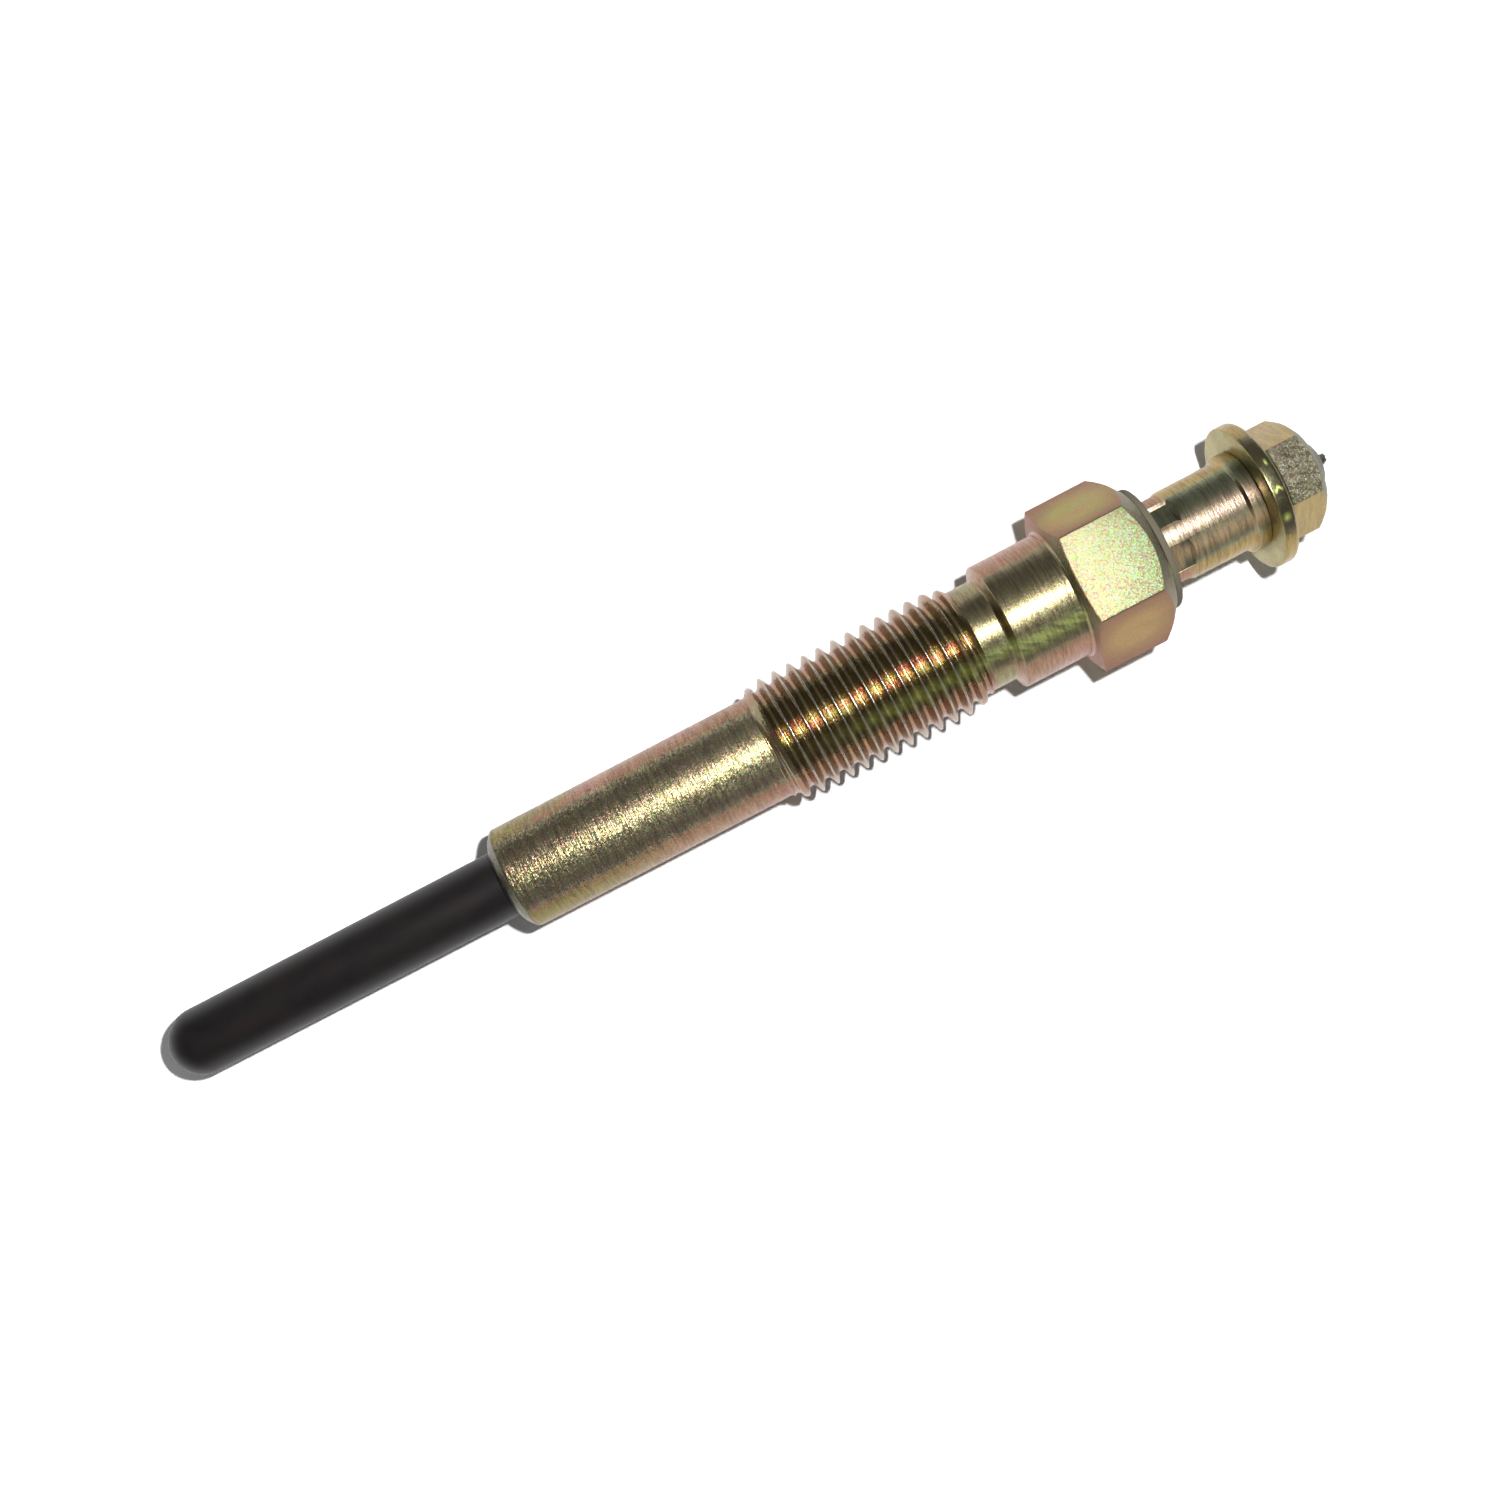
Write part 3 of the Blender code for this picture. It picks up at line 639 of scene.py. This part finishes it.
class Wiring:
    """Adds nodes to a material or to the room."""

    def __init__(self, owner):
        owner.use_nodes = True
        self.nodes = owner.node_tree.nodes
        self.links = owner.node_tree.links

    def node(self, kind, settings=None, sockets=None, output=0):
        """Adds a node, sets it up, feeds its sockets and gives one of its outputs."""
        made = self.nodes.new(kind)
        for name, value in (settings or {}).items():
            if name == "stops":
                self.set_stops(made.color_ramp, value)
            else:
                setattr(made, name, value)
        for name, value in (sockets or {}).items():
            self.feed(made.inputs[name], value)
        return Amount(self, made.outputs[output])

    def feed(self, socket, value):
        if isinstance(value, Amount):
            self.links.new(value.socket, socket)
        elif isinstance(value, tuple) and socket.type == "RGBA":
            socket.default_value = (*value, 1)
        else:
            socket.default_value = value

    def set_stops(self, ramp, stops):
        while len(ramp.elements) < len(stops):
            ramp.elements.new(0.5)
        for element, (position, colour) in zip(ramp.elements, stops):
            element.position = position
            element.color = (*colour, 1)

    def step(self, value, low, high):
        """0 below low and 1 above high, with a smooth rise between."""
        sockets = {"Value": value, "From Min": low, "From Max": high}
        return self.node("ShaderNodeMapRange", {"interpolation_type": "SMOOTHSTEP"}, sockets)

    def rays(self, *kinds):
        """1 for light that is followed back from these kinds of ray."""
        total = 0
        for kind in kinds:
            total = self.node("ShaderNodeLightPath", output="Is " + kind + " Ray") + total
        return total


class Finish(Wiring):
    """A material in the making. Its places are in millimetres about the plug's axis."""

    def __init__(self, name):
        self.material = bpy.data.materials.new(name)
        super().__init__(self.material)
        self.shader = self.nodes["Principled BSDF"]
        spot = self.node("ShaderNodeTexCoord", output="Object")
        centred = self.vector("SUBTRACT", spot, (NOSE_PLACE, 0, AXIS_HEIGHT))
        self.place = self.vector("MULTIPLY", centred, (1 / MM, 1 / MM, 1 / MM))
        self.along = self.part("X")
        self.across = self.part("Y")
        self.up = self.part("Z")
        self.radius = (self.across * self.across + self.up * self.up) ** 0.5
        self.side_place = (self.across * self.across) ** 0.5
        self.turn = self.across / self.radius
        facing = self.node("ShaderNodeTexCoord", output="Normal")
        self.facing_end = self.part("X", facing)
        facing_y = self.part("Y", facing)
        facing_z = self.part("Z", facing)
        outward = facing_y * facing_y + facing_z * facing_z
        self.facing_out = outward ** 0.5
        self.side = (facing_y * facing_y + TINY) ** 0.5 / (outward + TINY) ** 0.5

    def vector(self, operation, first, second=None, output=0):
        sockets = {0: first} if second is None else {0: first, 1: second}
        return self.node("ShaderNodeVectorMath", {"operation": operation}, sockets, output)

    def part(self, axis, vector=None):
        return self.node("ShaderNodeSeparateXYZ", None, {0: vector or self.place}, axis)

    def stretched(self, along, across, up):
        """The place with each direction scaled, for a pattern that is drawn out."""
        return self.vector("MULTIPLY", self.place, (along, across, up))

    def noise(self, place, scale, detail=2.0, roughness=0.5, distortion=0.0):
        sockets = {"Vector": place, "Scale": scale, "Detail": detail}
        sockets.update({"Roughness": roughness, "Distortion": distortion})
        return self.node("ShaderNodeTexNoise", None, sockets)

    def grains(self, place, scale):
        """A random colour for each small grain."""
        return self.node("ShaderNodeTexVoronoi", None, {"Vector": place, "Scale": scale}, "Color")

    def band(self, value, middle, half_width):
        """1 in the middle of a band and 0 outside it."""
        rise = self.step(value, middle - half_width, middle)
        return rise - self.step(value, middle, middle + half_width)

    def mix(self, share, first, second):
        sockets = {0: share, 6: first, 7: second}
        return self.node("ShaderNodeMix", {"data_type": "RGBA"}, sockets, 2)

    def dappled(self, colour, grains, share):
        """A colour that wanders from grain to grain and keeps its mean."""
        doubled = self.vector("MULTIPLY", grains, (2.0, 2.0, 2.0))
        settings = {"data_type": "RGBA", "blend_type": "MULTIPLY", "clamp_factor": False}
        return self.node("ShaderNodeMix", settings, {0: share, 6: colour, 7: doubled}, 2)

    def tilted(self, normal, grains, share):
        """A normal that leans a little another way on each grain."""
        centred = self.vector("SUBTRACT", grains, (0.5, 0.5, 0.5))
        lean = self.node("ShaderNodeVectorMath", {"operation": "SCALE"}, {0: centred, "Scale": share})
        return self.vector("NORMALIZE", self.vector("ADD", normal, lean))

    def ramp(self, value, stops):
        return self.node("ShaderNodeValToRGB", {"stops": stops}, {0: value})

    def bump(self, height, depth, under=None):
        """Relief whose height of 1 stands this many millimetres proud."""
        sockets = {"Height": height, "Distance": depth * MM, "Strength": 1.0}
        if under:
            sockets["Normal"] = under
        return self.node("ShaderNodeBump", None, sockets)

    def give(self, **sockets):
        """Feeds the shader's own sockets, named with _ for a space."""
        for name, value in sockets.items():
            self.feed(self.shader.inputs[name.replace("_", " ")], value)
        return self.material


# Tints of the passivation film on the zinc plate, some of which also paint its iridescent sheen and the
# glints on the thread
LIME = (0.365, 0.370, 0.20)
STRAW = (0.335, 0.295, 0.16)
OLIVE = (0.35, 0.31, 0.19)
BROWN = (0.30, 0.25, 0.17)
PINK = (0.315, 0.172, 0.120)
ROSE = (0.34, 0.195, 0.155)
MUSTARD = (0.21, 0.175, 0.065)
GOLD = (0.325, 0.235, 0.095)
AMBER = (0.45, 0.30, 0.14)
SAGE = (0.39, 0.335, 0.125)
MOSS = (0.27, 0.285, 0.185)
REED = (0.24, 0.235, 0.12)
FAWN = (0.25, 0.215, 0.125)
BRONZE = (0.15, 0.13, 0.06)
SLATE = (0.15, 0.145, 0.11)
RUSSET = (0.28, 0.20, 0.09)
GLINT_YELLOW = (0.42, 0.37, 0.17)
HONEY = (0.285, 0.255, 0.10)
PEWTER = (0.20, 0.185, 0.13)
SAND = (0.50, 0.43, 0.31)
BLUSH = (0.22, 0.155, 0.12)
PAINTED_LIGHT_TAN = (0.56, 0.42, 0.25)
LEAF = (0.48, 0.55, 0.19)
UMBER = (0.09, 0.065, 0.045)
ASH = (0.30, 0.27, 0.20)
WORN = (0.40, 0.39, 0.35)
DUSK = (0.21, 0.19, 0.105)
CRIMSON = (0.45, 0.16, 0.12)
GLINT_RED = (0.42, 0.22, 0.15)
SCRAPED = (0.75, 0.88, 0.25)

# Turning marks multiply a tint by twice these, so the even one leaves it as it is
RING_DARK = (0.25, 0.18, 0.19)
RING_EVEN = (0.5, 0.5, 0.5)
RING_PALE = (0.72, 0.72, 0.70)

# Tints of the heat oxide
SOOT = (0.009, 0.008, 0.009)
COAL = (0.015, 0.012, 0.012)
CHAR = (0.023, 0.015, 0.014)


class Plate(Finish):
    """A plated finish whose tint changes from the top of the plug round to its sides: partly the film's
    own colour, partly a painted iridescent sheen.
    """

    def __init__(self, name, tints):
        super().__init__(name)
        self.drift = self.noise(self.stretched(0.15, 0.4, 0.4), 1.0, 3.0, 0.55, 0.4)
        # Painted sheen: the tint follows how far the surface faces sideways, as the film's colour shifts
        # when seen at a slant, with the film's own drift mixed in
        self.tint = self.ramp(self.side + (self.drift - 0.5) * 0.1, tints)
        self.grain = self.grains(self.place, 11.0)
        slant = self.node("ShaderNodeCombineXYZ", None, {
            0: self.along * 1.3 + self.across * 2.6,
            1: self.along * 0.5 - self.across * 0.25,
            2: self.up * 0.5,
        })
        self.wisps = self.noise(slant, 1.0, 3.0, 0.6)

    def spot(self, turn, half_turn, along, half_length):
        """1 at a place on the plug's surface and 0 away from it."""
        return self.band(self.turn, turn, half_turn) * self.band(self.along, along, half_length)

    def lay(self, share, colour):
        """Lays a tint over the film so far."""
        self.tint = self.mix(share, self.tint, colour)

    def close(self, roughness, lines, grain, lean, dapple, stripes=0.3):
        """Adds turning marks, grain and small differences of gloss, and gives the material."""
        rings = self.noise(self.stretched(1.0, 0.1, 0.1), 4.5, 3.0, 0.75)
        fine = self.noise(self.place, 8.0, 2.0, 0.6)
        patches = self.noise(self.stretched(0.5, 0.9, 0.9), 1.0, 3.0, 0.55)
        relief = self.bump(rings * lines + fine * grain, 1.0)
        ringed = self.ramp(rings, [(0.36, RING_DARK), (0.5, RING_EVEN), (0.62, RING_PALE)])
        return self.give(
            Base_Color=self.dappled(self.dappled(self.tint, ringed, stripes), self.grain, dapple),
            Metallic=1.0,
            Roughness=roughness + (patches - 0.5) * 0.08,
            Normal=self.tilted(relief, self.grain, lean),
        )


def plated_housing():
    """The body's plate: rough at the nose, bright on the neck and collar, grainy on the hexagon."""
    # Painted sheen: straw on top, brown, then pink and rose on the sides, by facing
    tints = [(0.0, STRAW), (0.30, OLIVE), (0.55, BROWN), (0.68, BROWN), (0.76, PINK), (1.0, ROSE)]
    coat = Plate("plated_housing", tints)

    # The shank has clouded sides and a top painted darker to dim the lamp's highlight there; the neck and
    # collar have tints of their own, darker on top for the same reason
    rough_end = 1 - coat.step(coat.along, 3.0, 18.0)
    after_thread = coat.step(coat.along, THREAD_END - 0.2, THREAD_END + 0.4)
    rim = coat.step(coat.side, 0.6, 0.8)
    clouds = coat.step(coat.noise(coat.stretched(0.16, 0.25, 0.25), 1.0, 2.0, 0.5), 0.42, 0.58)
    coat.lay(rim * clouds * (0.25 + rough_end * 0.7), MUSTARD)
    neck = after_thread * (1 - coat.step(coat.along, SHOULDER - 0.2, SHOULDER))
    coat.lay(rim * neck * 0.75, REED)
    coat.lay(after_thread * (1 - rim) * 0.5, FAWN)
    # Painted shade: the shank's top towards the thread is darker, which dims the lamp's highlight on it
    dimmed_top = coat.step(coat.along, 8.0, 20.0) * (1 - coat.step(coat.side, 0.15, 0.4))
    coat.lay(dimmed_top * 0.5, BRONZE)

    # The hexagon's flanks are pink towards their ends, its upper edges dark and its back edge red
    head = coat.step(coat.along, HEX_START - 0.1, HEX_START) * coat.step(coat.radius, 5.05, 5.3)
    middle = coat.band(coat.side_place, 5.0, 1.8) * coat.band(coat.along, 50.4, 4.2)
    upper = coat.step(coat.across, -1.0, 1.0)
    flank = coat.mix(middle * 1.6, PINK, coat.mix(upper, AMBER, SAGE))
    flank = coat.mix(middle * clouds, flank, coat.mix(upper, GOLD, AMBER))
    # Painted sheen: the hexagon's top facet is lime and its flanks take their own tints, by facing
    facet = coat.mix(coat.step(coat.side, 0.3, 0.8), LIME, flank)
    facet = coat.mix(coat.band(coat.side, 0.45, 0.3) * 0.8, facet, UMBER)
    coat.lay(head * coat.step(coat.facing_out, 0.3, 0.6), facet)
    back_edge = coat.band(coat.facing_end, -0.3, 0.25) * (1 - coat.step(coat.side, 0.2, 0.4))
    coat.lay(head * back_edge * 0.8, CRIMSON)
    top_facet = head * (1 - coat.step(coat.side, 0.3, 0.6))
    end_face = coat.step(coat.along, 51.0, 51.2) * coat.step(coat.facing_end, 0.3, 0.6)
    coat.lay(end_face, ASH)
    nose = (1 - coat.step(coat.along, 1.0, 1.3)) * coat.step(coat.facing_end, -0.15, -0.4)
    coat.lay(nose * 0.9, SLATE)

    # A pale green streak runs along one side, the thread is redder with worn crests, and painted glints
    # tint its top where the lamp's highlight falls
    lower_band = coat.band(coat.turn, -0.47, 0.22) * (1 - head)
    streak = lower_band * (0.4 + 0.6 * coat.step(coat.wisps, 0.35, 0.60)) * coat.step(coat.along, 22.0, 34.0)
    coat.lay(streak, LEAF)
    thread = coat.step(coat.along, THREAD_START - 0.1, THREAD_START + 0.6)
    thread = thread * (1 - coat.step(coat.along, THREAD_END - 0.6, THREAD_END + 0.1))
    coat.lay(thread * 0.3, RUSSET)
    # Painted highlight: red and yellow fringes round the lamp's highlight along the top of the thread
    painted_glint = thread * (1 - coat.step((coat.turn * coat.turn) ** 0.5, 0.10, 0.26))
    glint_fringe_reds = coat.step(coat.noise(coat.stretched(1.6, 1.2, 0.2), 1.0, 2.0, 0.5), 0.42, 0.58)
    coat.lay(painted_glint * 0.8, coat.mix(glint_fringe_reds, GLINT_YELLOW, GLINT_RED))
    crest = thread * coat.step(coat.radius, CREST_RADIUS - 0.05, CREST_RADIUS - 0.01)
    coat.lay(crest * 0.7, WORN)

    # Gloss, relief and grain differ from stretch to stretch
    roughness = 0.345 + coat.step(coat.along, 8.0, 20.0) * 0.025 - after_thread * 0.055 - thread * 0.105
    roughness = roughness + head * 0.245 + lower_band * 0.06 + streak * 0.17 + end_face * 0.03
    lines = (0.036 + rough_end * 0.012 - after_thread * 0.012) * (1 - head) * (1 - thread * 0.7)
    grain = 0.006 + rough_end * 0.004 - after_thread * 0.003 + head * 0.012
    lean = 0.18 + rough_end * 0.05 - thread * 0.03 - after_thread * 0.11 + top_facet * 0.19
    dapple = 0.31 + rough_end * 0.02 - thread * 0.13 - after_thread * 0.18 + top_facet * 0.28
    stripes = (0.45 - thread * 0.3) * (1 - head)
    return coat.close(roughness, lines, grain, lean, dapple, stripes)


def plated_round_nut():
    """The round nut's plate: fine turned rings, a painted sheen that is pink on top and gold at the sides,
    and painted light on its lower side.
    """
    # Painted sheen: pink on top, brown and moss, then gold on the sides, by facing
    tints = [(0.0, BLUSH), (0.22, BROWN), (0.42, MOSS), (0.70, MOSS), (0.80, GOLD), (1.0, GOLD)]
    coat = Plate("plated_round_nut", tints)
    # Painted light: a paler tan band along the lower side, widest at the foot, where that side catches
    # more light; it is rougher there too
    foot = 1 - coat.step(coat.along, 55.7, 56.0)
    lower = coat.step(coat.turn, -0.85, -0.70) * (1 - coat.step(coat.turn, -0.30, -0.15))
    lower_band = coat.band(coat.turn, -0.48, 0.30)
    lower_band = lower_band + (1 - lower_band) * foot * lower * 0.7
    coat.lay(lower_band, PAINTED_LIGHT_TAN)
    tip = 1 - coat.step(coat.along, 55.8, 57.2)
    coat.lay(tip * coat.step(coat.side, 0.7, 0.85), PINK)
    return coat.close(0.335 + lower_band * 0.22, 0.03, 0.001, 0.04, 0.10, 0.5)


def plated_flange_nut():
    """The flange nut's plate: smooth gold sides and coarse grain on the flats."""
    # Painted sheen: dark on top, brown, then gold on the sides, by facing
    tints = [(0.0, DUSK), (0.35, DUSK), (0.60, BROWN), (0.74, GOLD), (1.0, GOLD)]
    coat = Plate("plated_flange_nut", tints)
    seat = coat.step(coat.facing_end, -0.3, -0.6)
    coat.lay(seat * (0.4 + 0.6 * coat.step(coat.wisps, 0.35, 0.55)), HONEY)
    crown = coat.step(coat.along, 65.5, 66.0) * coat.step(coat.facing_end, 0.25, 0.5)
    coat.lay(crown, PEWTER)
    flat = coat.step(coat.along, 64.2, 64.6) * (1 - coat.step(coat.side, 0.1, 0.3)) * (1 - crown)
    coat.lay(flat * coat.step(coat.wisps, 0.30, 0.60) * 0.8, SAND)
    zigzag = coat.node("ShaderNodeMath", {"operation": "SINE"}, {0: coat.along * 12.0}) * 0.022
    scrapes = coat.band(coat.turn + zigzag, -0.125, 0.045) * coat.band(coat.along, 63.2, 0.6)
    scrapes = scrapes + coat.spot(0.25, 0.07, 63.3, 0.18) + coat.spot(-0.49, 0.08, 63.1, 0.5)
    scrapes = scrapes * coat.step(coat.radius, 5.4, 5.6)
    coat.lay(scrapes, SCRAPED)
    roughness = 0.30 + crown * 0.15 + flat * 0.13 + scrapes * 0.2
    return coat.close(roughness, 0.004, 0.005 + flat * 0.008, 0.10 + flat * 0.14, 0.12 + flat * 0.14)


def oxidised():
    """The heater's dark oxide skin."""
    skin = Finish("heat_oxide")
    cloud = skin.noise(skin.stretched(0.25, 0.5, 0.5), 1.0, 4.0, 0.6, 0.5)
    colour = skin.ramp(cloud, [(0.25, SOOT), (0.55, COAL), (0.8, CHAR)])
    fine = skin.noise(skin.stretched(1.0, 1.6, 1.6), 8.0, 3.0, 0.6)
    gloss = 0.44 + (cloud - 0.5) * 0.08 + (fine - 0.5) * 0.08
    skin.give(IOR=1.37)
    return skin.give(Base_Color=colour, Metallic=0.0, Roughness=gloss, Normal=skin.bump(fine * 0.003, 1.0))


def plain(name, dark, light, roughness, metallic, scale, depth):
    """A simple finish: two tints, roughness, metal, grain size and relief."""
    finish = Finish(name)
    mottle = finish.noise(finish.place, scale, 3.0, 0.6)
    colour = finish.mix(mottle, dark, light)
    gloss = roughness + (mottle - 0.5) * 0.15
    relief = finish.bump(mottle, depth)
    return finish.give(Base_Color=colour, Metallic=metallic, Roughness=gloss, Normal=relief)


def dress(piece, material, node):
    """Gives a piece its finish and sets it in place of its CAD node."""
    piece.data.materials.clear()
    piece.data.materials.append(material)
    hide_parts(node)
    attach(piece, "root")


# Plain finishes, as plain() takes them: the bush, the stud, and the pieces that others hide
RESIN = ((0.135, 0.12, 0.084), (0.16, 0.143, 0.10), 0.9, 0.0, 2.0, 0.01)
BARE_STEEL = ((0.13, 0.125, 0.10), (0.30, 0.29, 0.235), 0.55, 1.0, 4.0, 0.03)
HIDDEN = {
    "heating_coil": ((0.28, 0.26, 0.24), (0.45, 0.42, 0.39), 0.45, 1.0, 6.0, 0.002),
    "control_coil": ((0.42, 0.39, 0.34), (0.60, 0.57, 0.52), 0.38, 1.0, 6.0, 0.002),
    "magnesia_filling": ((0.70, 0.69, 0.65), (0.84, 0.83, 0.80), 0.92, 0.0, 5.0, 0.02),
    "sheath_seal": ((0.22, 0.06, 0.03), (0.34, 0.11, 0.06), 0.7, 0.0, 3.0, 0.01),
    "seal_ring": ((0.02, 0.02, 0.02), (0.045, 0.045, 0.045), 0.6, 0.0, 3.0, 0.01),
}


def make_plug():
    """Makes and dresses the six pieces that show, and gives the hidden ones their finishes."""
    dress(make_housing(), plated_housing(), "housing")
    dress(make_sheath(), oxidised(), "heater_sheath")
    dress(make_bush(), plain("moulded_resin", *RESIN), "insulating_bush")
    dress(make_round_nut(), plated_round_nut(), "round_nut")
    dress(make_flange_nut(), plated_flange_nut(), "flange_nut")
    dress(make_stud(), plain("bare_stud", *BARE_STEEL), "centre_electrode")
    for node, looks in HIDDEN.items():
        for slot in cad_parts[node].material_slots:
            slot.material = plain(node + "_finish", *looks)


# The plug rests on the hexagon's lower flat and the edge of its nose
REST_FRONT = at(NOSE + NOSE_LENGTH + 0.3, -SHANK_RADIUS)
REST_BACK = at(HEX_START + 0.17, -HEX_ACROSS_FLATS / 2)
FLOOR_ALONG = (REST_BACK - REST_FRONT).normalized()
FLOOR_ACROSS = Vector((0, 1, 0))
FLOOR_UP = FLOOR_ALONG.cross(FLOOR_ACROSS)
FLOOR_GAP = 0.03

# The floor's side in metres, the paper's own paleness, how pale it looks under the lamp and at most,
# and the distances from the lamp between which it turns plain white
FLOOR_SIDE = 6
PAPER = 0.9
PALE = 1.12
FULL_PALE = 4.0
FAR_START = 190.0
FAR_END = 240.0

# One small lamp stands beside the camera
LAMP_ALONG = 48.97
LAMP_ACROSS = 1.5
LAMP_ABOVE = 130.0
LAMP_RADIUS = 3.0
LAMP_POWER = 0.73

# The room's light from overhead, and the slopes of view between which its pale horizon ends
SKY = 0.14
HORIZON_RISE = 0.03
HORIZON_END = 0.10

# The camera looks down on the plug
CAMERA_ALONG = 20.37
CAMERA_ACROSS = -5.5
CAMERA_ABOVE = 124.0
CAMERA_TILT = math.radians(1.871)
PICTURE_TURN = math.radians(27.385)
LENS = 39.254
SENSOR = 36
SHIFT_ACROSS = 0.01386
SHIFT_UP = 0.06576
NEAREST = 0.001
FARTHEST = 20


def hang(data, place, facing=None):
    """Sets a lamp or the camera up at a place, turned as the three directions say."""
    holder = bpy.data.objects.new(data.name, data)
    turned = Matrix(facing or ((1, 0, 0), (0, 1, 0), (0, 0, 1))).transposed().to_4x4()
    holder.matrix_world = Matrix.Translation(place) @ turned
    bpy.context.scene.collection.objects.link(holder)
    return holder


def make_floor():
    """A pale surface under the plug. It looks evenly white, although the lamp is near."""
    pick_up()
    turn_to_floor = Matrix((FLOOR_ALONG, FLOOR_ACROSS, FLOOR_UP)).transposed().to_4x4()
    bpy.ops.mesh.primitive_plane_add(size=FLOOR_SIDE, location=(0, 0, 0))
    floor = bpy.context.view_layer.objects.active
    floor.name = "floor"
    floor.data.transform(Matrix.Translation(REST_BACK - FLOOR_UP * FLOOR_GAP * MM) @ turn_to_floor)
    paper = Finish("white_paper")
    lamp = (LAMP_ALONG, LAMP_ACROSS, LAMP_ABOVE)
    reach = paper.vector("LENGTH", paper.vector("SUBTRACT", paper.place, lamp), None, "Value")
    height = LAMP_ABOVE + HEX_ACROSS_FLATS / 2
    evened = (reach / height) ** 3 * PALE
    evened = paper.node("ShaderNodeMath", {"operation": "MINIMUM"}, {0: evened, 1: FULL_PALE})
    seen = paper.rays("Camera", "Glossy", "Transmission")
    level = PAPER + (evened - PAPER) * seen
    colour = paper.node("ShaderNodeCombineColor", None, {0: level, 1: level, 2: level})
    near = paper.node("ShaderNodeBsdfDiffuse", None, {"Color": colour})
    far = paper.node("ShaderNodeEmission", None, {"Color": (1.0, 1.0, 1.0), "Strength": 1.0})
    share = paper.step(reach, FAR_START, FAR_END) * seen
    surface = paper.node("ShaderNodeMixShader", None, {0: share, 1: near, 2: far})
    paper.feed(paper.nodes["Material Output"].inputs["Surface"], surface)
    floor.data.materials.append(paper.material)


def make_light():
    """The lamp above the plug, in a room that is white to the camera, dim overhead and pale low down."""
    lamp = bpy.data.lights.new("lamp", "POINT")
    lamp.shadow_soft_size = LAMP_RADIUS * MM
    lamp.energy = LAMP_POWER
    holder = hang(lamp, at(LAMP_ALONG, LAMP_ABOVE) + FLOOR_ACROSS * LAMP_ACROSS * MM)
    holder.visible_camera = False
    world = bpy.data.worlds.new("room")
    bpy.context.scene.world = world
    room = Wiring(world)
    direction = room.node("ShaderNodeTexCoord", output="Generated")
    rise = room.node("ShaderNodeSeparateXYZ", None, {0: direction}, "Z")
    low = 1 - room.step(rise, HORIZON_RISE, HORIZON_END)
    pale = room.rays("Camera") + room.rays("Glossy", "Transmission") * low
    backdrop = room.nodes["Background"].inputs
    room.feed(backdrop["Color"], (1.0, 1.0, 1.0))
    room.feed(backdrop["Strength"], SKY + (1 - SKY) * pale)


def make_camera():
    """Looks down on the plug, which runs up to the right."""
    camera = bpy.data.cameras.new("camera")
    camera.lens = LENS
    camera.sensor_width = SENSOR
    camera.shift_x = SHIFT_ACROSS
    camera.shift_y = SHIFT_UP
    camera.clip_start = NEAREST
    camera.clip_end = FARTHEST
    back = Vector((math.sin(CAMERA_TILT), 0, math.cos(CAMERA_TILT)))
    along = Vector((math.cos(CAMERA_TILT), 0, -math.sin(CAMERA_TILT)))
    right = along * math.cos(PICTURE_TURN) - FLOOR_ACROSS * math.sin(PICTURE_TURN)
    top = along * math.sin(PICTURE_TURN) + FLOOR_ACROSS * math.cos(PICTURE_TURN)
    spot = at(CAMERA_ALONG, CAMERA_ABOVE) + FLOOR_ACROSS * CAMERA_ACROSS * MM
    bpy.context.scene.camera = hang(camera, spot, (right, top, back))


make_plug()
make_floor()
make_light()
make_camera()
bpy.context.scene.view_settings.view_transform = "Standard"
